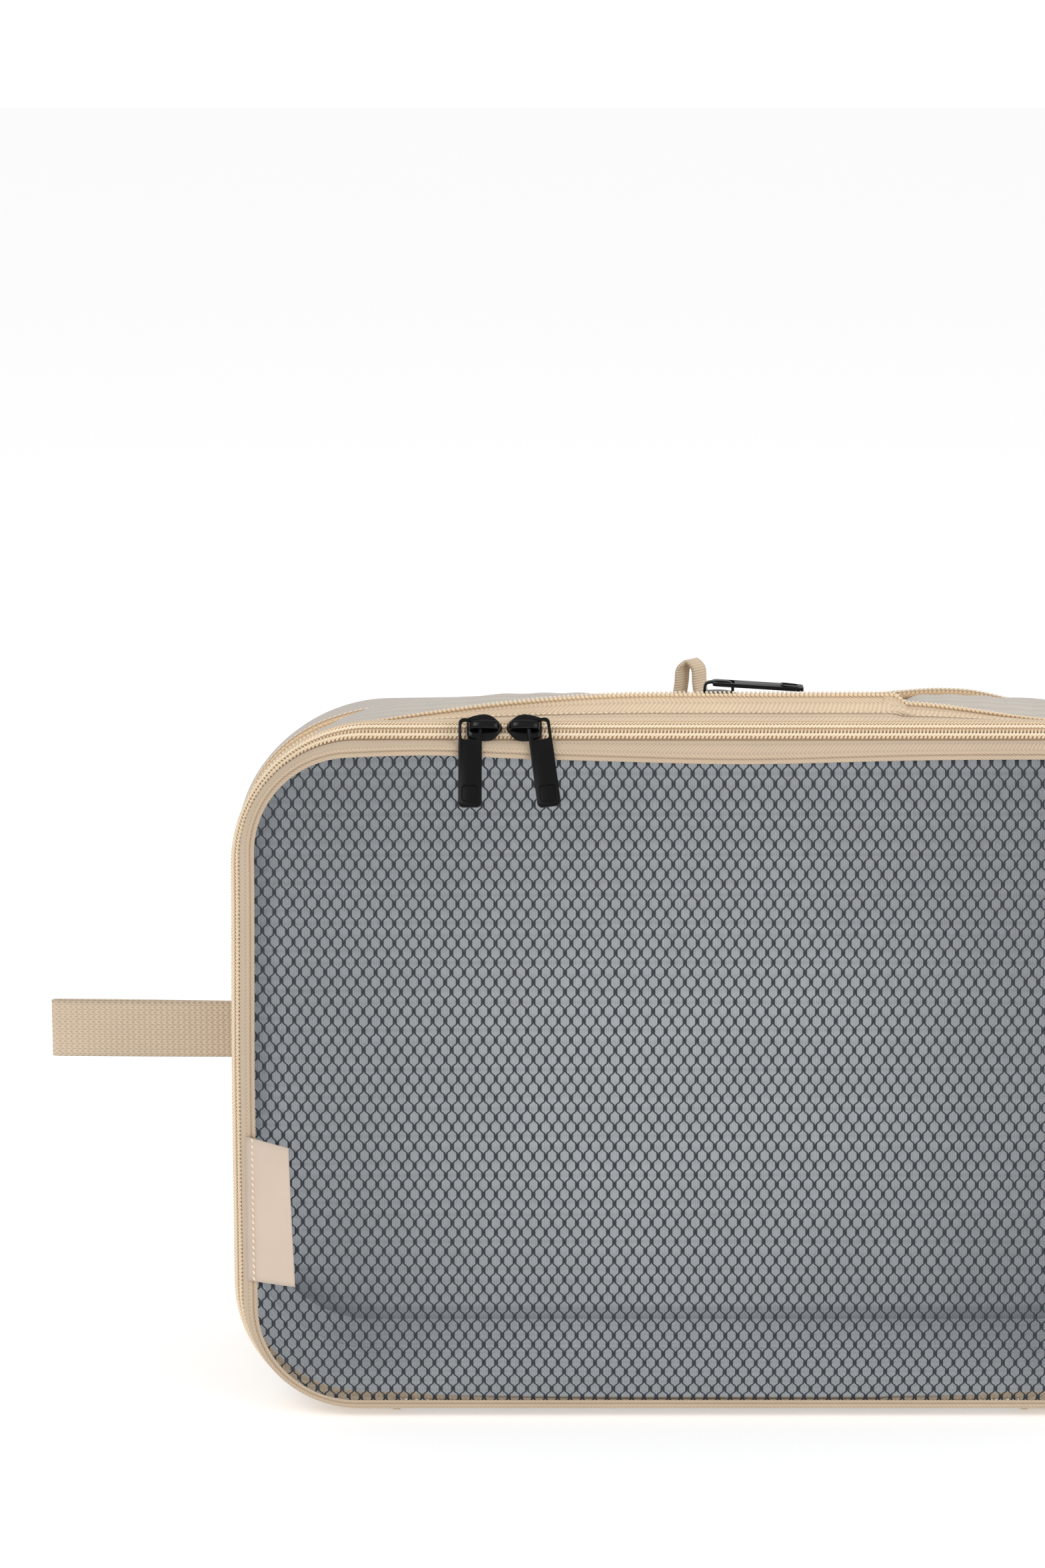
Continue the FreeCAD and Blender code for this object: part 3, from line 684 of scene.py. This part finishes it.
lidTape = band("lidTape", pipingRows(), finish["lidTape"], 0.0010, inside=finish["lining"])
lidSteps = between(lidStart, lidLine, 12)
lidChain = joined("lidChain", rowsOf([
    ("lidTeeth", dict(lidSteps[0], out=0.0001), "loop", 0.0012, "coil"),
    ("lidRope", dict(lidSteps[4], out=0.0005), "twist", 0.0012, "thread"),
    ("lidBeads", dict(lidSteps[8], out=0.0006), "bead", 0.0014, "coil"),
], hingeHalf, chainTilt))
# the band under the lid chain carries the painted shade between its rows
lidBand = band("lidBand", between(lidStart, lidLine, 4), finish["shadedBed"], 0.001,
               gap=hingeHalf, inside=finish["lining"])
tuckedIn = hoop("mesh", stations["lidFront"] - 0.0012, wave=1.0, inset=0.0013)
seamBand = band("meshSeam", between(meshLine, tuckedIn, 4), finish["lidTape"], 0.0004)
print("stage: lid bands built")

net = {"column": 0.00423, "row": 0.00337, "strand": 0.00027, "pillar": 0.00050, "gap": 0.00030}


def insideBy(x, z, rim):
    # distance inside a rounded rectangle
    half, top, low, upper, lower = rim
    radius = np.where(z > (top + low) / 2, upper, lower)
    dx = np.abs(x) - (half - radius)
    dz = np.abs(z - (top + low) / 2) - ((top - low) / 2 - radius)
    return radius - np.hypot(np.maximum(dx, 0), np.maximum(dz, 0)) - np.minimum(np.maximum(dx, dz), 0)


def bulge(x, z):
    # where the net lies: proud of its seam, and turned in under the tape beyond it
    rim, e = outline("mesh"), 0.00001
    depth = insideBy(x, z, rim)
    inside, outside = np.maximum(depth, 0), np.maximum(-depth, 0)
    toX = (insideBy(x + e, z, rim) - insideBy(x - e, z, rim)) / (2 * e)
    toZ = (insideBy(x, z + e, rim) - insideBy(x, z - e, rim)) / (2 * e)
    slow = 0.00035 * np.sin(x * 41 + 1.3) * np.sin(z * 57 + 0.4)
    y = stations["lidFront"] + 0.0012 + 0.5 * outside - (0.0060 + slow) * (1 - np.exp(-inside / 0.011))
    return np.stack([x + 0.75 * outside * toX, y, z + 0.75 * outside * toZ], 1)


def netCell():
    # one knot: a pillar of two strands, and the strand that leaves it to each side
    points, faces, uv = [], [], []

    def strand(path):
        start, run = len(points), 0.0
        for n, p in enumerate(path):
            ahead = Vector(path[min(n + 1, len(path) - 1)]) - Vector(path[max(n - 1, 0)])
            across = Vector((ahead.z, 0, -ahead.x)).normalized()
            thick = net["strand"] * (1 + 0.75 * abs(2 * n / (len(path) - 1) - 1) ** 2)
            for k in range(3):
                a = math.radians(90 + 120 * k)
                offset = across * math.cos(a) * thick + Vector((0, -1, 0)) * math.sin(a) * net["strand"]
                points.append(Vector(p) + offset)
        for n in range(len(path) - 1):
            length = (Vector(path[n + 1]) - Vector(path[n])).length
            for k in range(3):
                a, b = start + n * 3 + k, start + n * 3 + (k + 1) % 3
                faces.append((a, b, b + 3, a + 3))
                uv.extend([(run, 0), (run, 0.0003), (run + length, 0.0003), (run + length, 0)])
            run += length

    g, h = net["gap"], net["pillar"]
    end = Vector((net["column"] / 2 - g, 0, net["row"] - h))
    for side in (-1, 1):
        strand([(side * g, 0, -h), (side * g, 0, h)])
        a, b, c, d = Vector((g, 0, h)), Vector((g, 0, h + 0.0013)), Vector((end.x, 0, end.z - 0.0013)), end
        path = []
        for s in np.linspace(0, 1, 6):
            p = a * (1 - s) ** 3 + b * 3 * s * (1 - s) ** 2 + c * 3 * s * s * (1 - s) + d * s ** 3
            path.append((side * p.x, 0, p.z))
        strand(path)
    piece = newObject("netCell", newMesh("netCell", points, faces, uv))
    piece.hide_render = True
    return piece


def netPiece(name, cell, left):
    rim = outline("mesh")
    cells = []
    rows = int((rim[1] + 0.01) / net["row"])
    across = int(rim[0] / net["column"]) + 2
    for i in range(rows):
        shift = 0.5 * (i % 2)
        for j in range(-across, across + 1):
            x, z = (j + shift) * net["column"], 0.004 + i * net["row"]
            if (x < 0) == left:
                cells.append((x, z))
    cells = np.array(cells)
    kept = cells[insideBy(cells[:, 0], cells[:, 1], rim) > -0.0012]
    mesh = bpy.data.meshes.new(name + "Cells")
    mesh.from_pydata([(x, 0, z) for x, z in kept], [], [])
    piece = grown(name, mesh, overCells, {"part": cell, "material": finish["net"]})
    count = len(piece.data.vertices)
    flat = np.zeros(count * 3, np.float32)
    piece.data.vertices.foreach_get("co", flat)
    flat = flat.reshape(-1, 3)
    thick = flat[:, 1].copy()
    flat = bulge(flat[:, 0], flat[:, 2])
    flat[:, 1] += thick
    piece.data.vertices.foreach_set("co", flat.astype(np.float32).ravel())
    piece.data.update()
    return piece


cell = netCell()
netLeft, netRight = netPiece("netLeft", cell, True), netPiece("netRight", cell, False)
print("stage: net built", len(netLeft.data.polygons) * 2, "triangles")

# Hinge strip and zipper ends along the base
hingeRows = []
hingeX = np.linspace(-hingeHalf, hingeHalf, 120)
hingeSection = (
    (-0.0795, 0.0031), (-0.0788, 0.0024), (-0.0781, 0.0015), (-0.0775, 0.0010),
    (-0.0765, 0.0009), (-0.0745, 0.0006), (-0.0722, 0.0003),
)
for y, z in hingeSection:
    wave = 0.00012 * np.sin(hingeX * 320) * (1 if -0.079 < y < -0.073 else 0)
    hingeRows.append(np.stack([hingeX, np.full(len(hingeX), y), z + wave], 1))
hingeStrip = newObject("hingeStrip", gridMesh("hingeStrip", np.stack(hingeRows), False), finish["ripstop"])
thicken(hingeStrip, 0.0006)


def softBox(name, low, high, material, rounding=0.0006):
    shape = bmesh.new()
    bmesh.ops.create_cube(shape, size=1.0)
    low, high = Vector(low), Vector(high)
    for v in shape.verts:
        v.co = Vector(((low + high)[k] / 2 + v.co[k] * (high - low)[k] for k in range(3)))
    mesh = bpy.data.meshes.new(name)
    shape.to_mesh(mesh)
    shape.free()
    layer = mesh.uv_layers.new(name="Cloth")
    for loop in mesh.loops:
        co = mesh.vertices[loop.vertex_index].co
        layer.data[loop.index].uv = (co.x + co.y, co.z)
    mesh.shade_smooth()
    piece = newObject(name, mesh, material)
    if rounding:
        soft = piece.modifiers.new("Round", "BEVEL")
        soft.width, soft.segments = rounding, 3
    return piece


zipperEnds = [
    softBox(f"zipperEnd{side}", (min(a, b), -0.0778, 0.0002), (max(a, b), -0.0722, 0.0030), finish["tape"])
    for side, a, b in (("Left", -0.1097, -0.1070), ("Right", 0.1070, 0.1097))
]

# Ribbon pieces


def ribbon(name, path, width, axis, material, depth, count=7):
    # a strip of cloth along a path, wide along an axis
    path = np.array(path, float)
    side = np.array(axis, float)
    grid = np.stack([path + side * w for w in np.linspace(-width / 2, width / 2, count)])
    piece = newObject(name, gridMesh(name, grid, False), material)
    return thicken(piece, depth, 0.0)


def smoothPath(corners, count):
    # Catmull-Rom curve through some corners
    corners = [Vector(c) for c in corners]
    corners = [corners[0] * 2 - corners[1]] + corners + [corners[-1] * 2 - corners[-2]]
    path = []
    for n in range(1, len(corners) - 2):
        a, b, c, d = corners[n - 1:n + 3]
        for s in np.linspace(0, 1, count, endpoint=False):
            square, cubic = a * 2 - b * 5 + c * 4 - d, b * 3 - a - c * 3 + d
            path.append((b * 2 + (c - a) * s + square * s * s + cubic * s ** 3) / 2)
    path.append(corners[-2])
    return [tuple(p) for p in path]


loopSizes = {"x": -0.0064, "half": 0.0031, "foot": 0.2375, "top": 0.2509, "y": -0.0114, "ribbon": 0.0068}
x, y, half, foot, top = (loopSizes[k] for k in ("x", "y", "half", "foot", "top"))
fingerLoop = ribbon("fingerLoop", smoothPath([
    (x - half - 0.0008, y, foot), (x - half, y, foot + 0.006), (x - half + 0.0005, y, top - 0.0025),
    (x - half + 0.0026, y, top - 0.0002), (x + half - 0.0026, y, top),
    (x + half - 0.0004, y, top - 0.0026), (x + half, y, foot + 0.006), (x + half + 0.0008, y, foot),
], 8), loopSizes["ribbon"], (math.sin(0.70), math.cos(0.70), 0), finish["grosgrain"], 0.0011)

handle = {"z": 0.1184, "width": 0.020, "root": -0.1655, "end": -0.2313, "y": -0.0120, "half": 0.00115}
strapTurn = handle["end"] + 0.0012


def strapPoint(s, side):
    # one point of the strap's two layers, which part towards the far end
    spread = handle["half"] * (0.35 + 0.65 * math.sin(math.pi * min(s * 1.3, 1) / 2))
    x = handle["root"] + (strapTurn - handle["root"]) * s
    return x, handle["y"] + side * spread, handle["z"] + 0.0006 * s


handlePath = [strapPoint(s, -1) for s in np.linspace(0, 1, 24)]
for a in np.radians(np.linspace(-80, 80, 9)):
    y = handle["y"] + handle["half"] * math.sin(a)
    handlePath.append((strapTurn - 0.0011 * math.cos(a), y, handle["z"] + 0.0006))
handlePath += [strapPoint(s, 1) for s in np.linspace(1, 0, 24)]
handleStrap = ribbon("handleStrap", handlePath, handle["width"], (0, 0, 1), finish["webbing"], 0.0014, 15)

bartackParts = []
for n in range(9):
    z = handle["z"] - 0.0075 + 0.001875 * n
    low, high = (-0.1790, -0.01048, z), (-0.1744, -0.01002, z + 0.0009)
    bartackParts.append(softBox(f"bartack{n}", low, high, finish["thread"], 0))
bartack = joined("handleBartack", bartackParts)


def tapeFold(name, rings, start, tops, side):
    # the end of a compression tape laid over the other one, cut on a slant from its top edge to its seam
    grid = []
    t = steps(4000)
    for n, ring in enumerate(rings):
        points = laid(dict(ring, tuck=0, out=ring["out"] - 0.0001), t)[0]
        upper = points[points[:, 2] > 0.1]
        end = tops[0] + (tops[1] - tops[0]) * n / (len(rings) - 1)
        xs = np.linspace(start, end, 16)
        order = np.argsort(upper[:, 0])
        zs = np.interp(xs, upper[order, 0], upper[order, 2])
        droop = 0.0012 * ease(end - 0.004, end, xs)
        grid.append(np.stack([xs, ring["y"] - side * 0.0002 * ease(start, start + 0.006, xs), zs - droop], 1))
    piece = newObject(name, gridMesh(name, np.stack(grid), False), finish["tape"])
    return thicken(piece, 0.0007, -1.0)


foldRings = between(crestFront, tapeFront, 3) + between(tapeFront, seamFront, 5)[1:]
frontFold = tapeFold("frontTapeFold", foldRings, 0.0560, (0.0602, 0.0668), 1)
foldRings = between(crestRear, tapeRear, 3) + between(tapeRear, seamRear, 5)[1:]
rearFold = tapeFold("rearTapeFold", foldRings, 0.0560, (0.0602, 0.0668), -1)

label = {"x": -0.1588, "y": -0.0848, "low": 0.0496, "tall": 0.051, "wide": 0.0166, "tilt": 13.0}
labelRows = []
for s in np.linspace(0, 1, 14):
    across = label["wide"] * s
    z = np.linspace(label["low"], label["low"] + label["tall"], 24)
    v = (z - label["low"]) / label["tall"]
    a = np.radians(label["tilt"] + 15 * v)
    curl = 0.0008 * s * s * np.sin(v * math.pi) - 0.0006 * s ** 3
    xs = label["x"] + across * np.cos(a) - curl * 0.3
    ys = label["y"] - across * np.sin(a) - curl * 0.3 - 0.0001 * s
    labelRows.append(np.stack([xs, ys, z - s * (0.0012 + 0.0006 * v)], 1))
labelMesh = gridMesh("labelTag", np.stack(labelRows), False, centre=(-0.15, 0, 0.07))
labelTag = newObject("labelTag", labelMesh, finish["satin"])
thicken(labelTag, 0.0004, 0.0)
seamLine = bpy.data.meshes.new("labelSeam")
seamX = label["x"] + 0.0023 * math.cos(math.radians(label["tilt"]))
seamY = label["y"] - 0.0023 * math.sin(math.radians(label["tilt"] + 12)) - 0.0004
heights = np.linspace(label["low"] + 0.001, label["low"] + label["tall"] - 0.001, 60)
seamLine.from_pydata([(seamX, seamY, z) for z in heights], [(n, n + 1) for n in range(len(heights) - 1)], [])
outward = seamLine.attributes.new("outward", "FLOAT_VECTOR", "POINT")
outward.data.foreach_set("vector", np.tile([0, -1, 0], len(heights)).astype(np.float32))
labelStitch = grown("labelStitch", seamLine, alongRail, {
    "part": bead["stitch"], "pitch": 0.0022, "material": finish["thread"]})
print("stage: ribbons and label built")

# Sliders and pulls, in their own directions: x along the chain, y across, z outward
slope = math.radians(60.3616)
chainPoint = {"y": -0.07765, "z": cube["height"] - 0.0111}


def setting(x, y, z, turns):
    place = Matrix.Translation((x, y, z))
    for axis, angle in turns:
        place = place @ Matrix.Rotation(angle, 4, axis)
    return place


def stack(shape, levels):
    # rings of points at heights, closed at both ends
    rings = [[shape.verts.new(p) for p in ring] for ring in levels]
    count = len(rings[0])
    for low, high in zip(rings, rings[1:]):
        for k in range(count):
            shape.faces.new((low[k], low[(k + 1) % count], high[(k + 1) % count], high[k]))
    shape.faces.new(rings[0][::-1])
    shape.faces.new(rings[-1])


def egg(scale, z, count=28):
    # plan of a slider plate: round tail, almond nose at +x
    ring = []
    for k in range(count):
        a = 2 * math.pi * k / count
        c, s = math.cos(a), math.sin(a)
        x = 6.0 * abs(c) ** 0.8 * math.copysign(1, c)
        half = np.interp(x, (-6, -3.5, -0.5, 1, 2.5, 4, 5.3, 6), (3.5, 4.3, 5.0, 4.95, 4.3, 3.1, 1.6, 0.7))
        y = half * min(1, abs(s) * 2.6) ** 0.6 * math.copysign(1, s)
        ring.append((x * scale / 1000, y * scale / 1000, z / 1000))
    return ring


def barAlong(shape, path, wide, thick):
    # a bar with a flattened round section, swept along a path in the xz plane
    levels = []
    for n, (x, z) in enumerate(path):
        before, after = path[max(n - 1, 0)], path[min(n + 1, len(path) - 1)]
        dx, dz = after[0] - before[0], after[1] - before[1]
        size = math.hypot(dx, dz)
        nx, nz = -dz / size, dx / size
        ring = []
        for k in range(10):
            a = 2 * math.pi * k / 10
            y = wide / 2 * math.copysign(abs(math.cos(a)) ** 0.7, math.cos(a))
            h = thick / 2 * math.copysign(abs(math.sin(a)) ** 0.7, math.sin(a))
            ring.append(((x + nx * h) / 1000, y / 1000, (z + nz * h) / 1000))
        levels.append(ring)
    stack(shape, levels)


def finished(name, shape, place, material, levels=0):
    bmesh.ops.recalc_face_normals(shape, faces=shape.faces)
    mesh = bpy.data.meshes.new(name)
    shape.to_mesh(mesh)
    shape.free()
    mesh.transform(place)
    mesh.shade_smooth()
    piece = newObject(name, mesh, material)
    if levels:
        soft = piece.modifiers.new("Soft", "SUBSURF")
        soft.levels = soft.render_levels = levels
    return piece


def sliderPiece(name, place):
    shape = bmesh.new()
    shell = ((0.90, 0.30), (1.0, 0.55), (1.0, 1.35), (0.94, 1.75), (0.72, 1.98), (0.35, 2.1))
    stack(shape, [egg(share, level) for share, level in shell])
    shoulder = [(-4.7, 1.2), (-4.75, 2.6), (-4.7, 3.9), (-4.2, 4.8), (-3.1, 5.15)]
    barAlong(shape, shoulder + [(0, 5.35)] + [(-x, z) for x, z in reversed(shoulder)], 3.0, 1.1)
    return finished(name, shape, place, finish["slider"], 1)


def roundedRing(x0, x1, y0, y1, r, count=5):
    ring = []
    centres = ((x1 - r, y1 - r), (x0 + r, y1 - r), (x0 + r, y0 + r), (x1 - r, y0 + r))
    for (cx, cy), start in zip(centres, (0, 90, 180, 270)):
        for k in range(count + 1):
            a = math.radians(start + 90 * k / count)
            ring.append((cx + r * math.cos(a), cy + r * math.sin(a)))
    return ring


def pullPiece(name, place):
    # a tab with a square ring at its head, hanging to -y, and a raised square on its grip
    shape = bmesh.new()
    edges = []
    for ring in (roundedRing(-3.9, 3.9, -28.4, 2.2, 1.7), roundedRing(-2.9, 2.9, -5.2, 1.25, 1.1)):
        verts = [shape.verts.new((x / 1000, y / 1000, 2.5 / 1000)) for x, y in ring]
        edges += [shape.edges.new((verts[n], verts[(n + 1) % len(verts)])) for n in range(len(verts))]
    bmesh.ops.triangle_fill(shape, edges=edges, use_beauty=True)
    top = bmesh.ops.extrude_face_region(shape, geom=shape.faces[:])
    for v in top["geom"]:
        if isinstance(v, bmesh.types.BMVert):
            v.co.z += 0.0012
    outer, inner = roundedRing(-2.95, 2.95, -26.7, -20.8, 1.4), roundedRing(-2.55, 2.55, -26.3, -21.2, 1.1)
    levels = [[(x / 1000, y / 1000, z / 1000) for x, y in ring]
              for ring, z in ((outer, 3.6), (outer, 3.95), (inner, 3.95), (inner, 3.6))]
    rings = [[shape.verts.new(point) for point in ring] for ring in levels]
    size = len(outer)
    for k in range(4):
        for m in range(size):
            n = (m + 1) % size
            shape.faces.new((rings[k][m], rings[k][n], rings[(k + 1) % 4][n], rings[(k + 1) % 4][m]))
    for v in shape.verts:
        v.co.z -= 0.0007 * ease(-0.014, -0.028, v.co.y)
    piece = finished(name, shape, place, finish["pull"])
    soft = piece.modifiers.new("Edge", "BEVEL")
    soft.width, soft.segments, soft.angle_limit = 0.00028, 3, math.radians(40)
    return piece


sliders = {}
bridgeReach = 0.0047
sliderRows = (
    ("left", -0.0777, [("X", slope)], 0.0),
    ("right", -0.0644, [("X", slope), ("Z", math.pi)], 7.4),
)
for side, x, turns, tilt in sliderRows:
    sliders[side] = sliderPiece(side + "Slider", setting(x, chainPoint["y"], chainPoint["z"], turns))
    pivot = -bridgeReach if side == "left" else bridgeReach
    hang = setting(x, chainPoint["y"], chainPoint["z"], [("X", slope)])
    hang = hang @ Matrix.Translation((pivot, 0, 0.0012)) @ Matrix.Rotation(math.radians(tilt), 4, "Z")
    sliders[side + "Pull"] = pullPiece(side + "PullTab", hang)
level = setting(0.0010, -0.0628, cube["height"] - 0.0030, [])
sliders["compression"] = sliderPiece("compressionSlider", level)
drooping = level @ Matrix.Translation((0, 0, 0.0017)) @ Matrix.Rotation(math.radians(2.2), 4, "Y")
sliders["compressionPull"] = pullPiece("compressionPullTab", drooping @ Matrix.Rotation(math.pi / 2, 4, "Z"))
print("stage: sliders built")

# For each body the pieces that ride on it, with the slot and the CAD nodes that each stands for
riders = {
    "rear_section": [
        (rearWall, "ripstop", "rear_wall"), (backPanel, "ripstop", "back_panel"),
        (backLining, "ripstop"), (backBinding, "tape", "back_binding"),
        (rearTape, "tape", "rear_collar_tape"), (rearCoil, "coil", "rear_collar_coil"),
        (rearFold, "tape", "rear_tape_fold"), (fingerLoop, "grosgrain", "finger_loop"),
    ],
    "front_section": [
        (frontTape, "tape", "front_collar_tape"), (upperTape, "tape", "upper_tape"),
        (frontCoil, "coil", "front_collar_coil"), (mainChain, "coil", "main_coil"), (mainTape, "tape"),
        (frontFold, "tape", "front_tape_fold"), (zipperEnds[0], "ripstop", "zipper_end_left"),
        (zipperEnds[1], "ripstop", "zipper_end_right"),
    ],
    "lid": [
        (lidTape, "tape", "lid_tape", "lid_binding"), (lidChain, "coil", "lid_coil"), (lidBand, "tape"),
        (seamBand, "tape"), (netLeft, "mesh", "mesh_window"), (netRight, "mesh"),
    ],
    "label": [
        (labelTag, "satin", "label_tag"), (labelStitch, "satin"),
    ],
    "handle": [
        (handleStrap, "webbing", "handle_strap"), (bartack, "tape", "handle_bartack"),
    ],
    "left_slider": [(sliders["left"], "slider_black", "left_slider_body", "left_slider_bridge")],
    "left_pull": [(sliders["leftPull"], "pull_black", "left_pull")],
    "right_slider": [(sliders["right"], "slider_black", "right_slider_body", "right_slider_bridge")],
    "right_pull": [(sliders["rightPull"], "pull_black", "right_pull")],
    "compression_slider": [
        (sliders["compression"], "slider_black", "compression_slider_body", "compression_slider_bridge"),
    ],
    "compression_pull": [(sliders["compressionPull"], "pull_black", "compression_pull")],
}
for part in list(bead.values()) + [cell]:
    bpy.data.objects.remove(part)
for body, pieces in riders.items():
    for piece, slot, *nodes in pieces:
        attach(piece, body)
        if nodes:
            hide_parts(*nodes)
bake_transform(gusset)
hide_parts("expansion_gusset")
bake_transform(hingeStrip)
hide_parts("hinge_strip")

# Floor, light and camera
floorMaterial = bpy.data.materials.new("Floor")
floorMaterial.use_nodes = True
floorShader = floorMaterial.node_tree.nodes["Principled BSDF"]
for name, value in (
    ("Base Color", (0.92, 0.92, 0.92, 1)), ("Roughness", 0.9), ("Specular IOR Level", 0.1),
    ("Emission Color", (1, 1, 1, 1)), ("Emission Strength", 0.30),
):
    floorShader.inputs[name].default_value = value
floorCorners = [(x, y, -0.0003) for x, y in ((-6, -3), (6, -3), (6, 9), (-6, 9))]
floor = newObject("floor", newMesh("floor", floorCorners, [(0, 1, 2, 3)], smooth=False), floorMaterial)
floor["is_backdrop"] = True

world = bpy.data.worlds.new("Studio")
world.use_nodes = True
scene.world = world
world.node_tree.nodes["Background"].inputs["Color"].default_value = (1, 1, 1, 1)
rays = addNode(world.node_tree, "ShaderNodeLightPath")
strength = sums(world.node_tree, "MULTIPLY_ADD", rays.outputs["Is Camera Ray"], 0.4, 0.72)
world.node_tree.links.new(strength, world.node_tree.nodes["Background"].inputs["Strength"])


def lamp(name, place, aim, size, power):
    data = bpy.data.lights.new(name, "AREA")
    data.size, data.energy = size, power
    piece = bpy.data.objects.new(name, data)
    scene.collection.objects.link(piece)
    piece.location = place
    piece.rotation_euler = (Vector(aim) - Vector(place)).to_track_quat("-Z", "Y").to_euler()
    piece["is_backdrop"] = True


lamp("keyLamp", (-1.1, -1.6, 1.9), (0, 0, 0.12), 0.9, 12.5)
lamp("fillLamp", (1.4, -1.2, 1.0), (0, 0, 0.12), 1.2, 12)

view = bpy.data.cameras.new("View")
view.sensor_width, view.lens = 36, 96.0
camera = bpy.data.objects.new("View", view)
scene.collection.objects.link(camera)
camera.location = (-0.0650, -1.4454, 0.5119)
camera.rotation_euler = (math.radians(78), 0, 0)
scene.camera = camera
scene.view_settings.view_transform = "Standard"
print("stage: scene lit")

low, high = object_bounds()
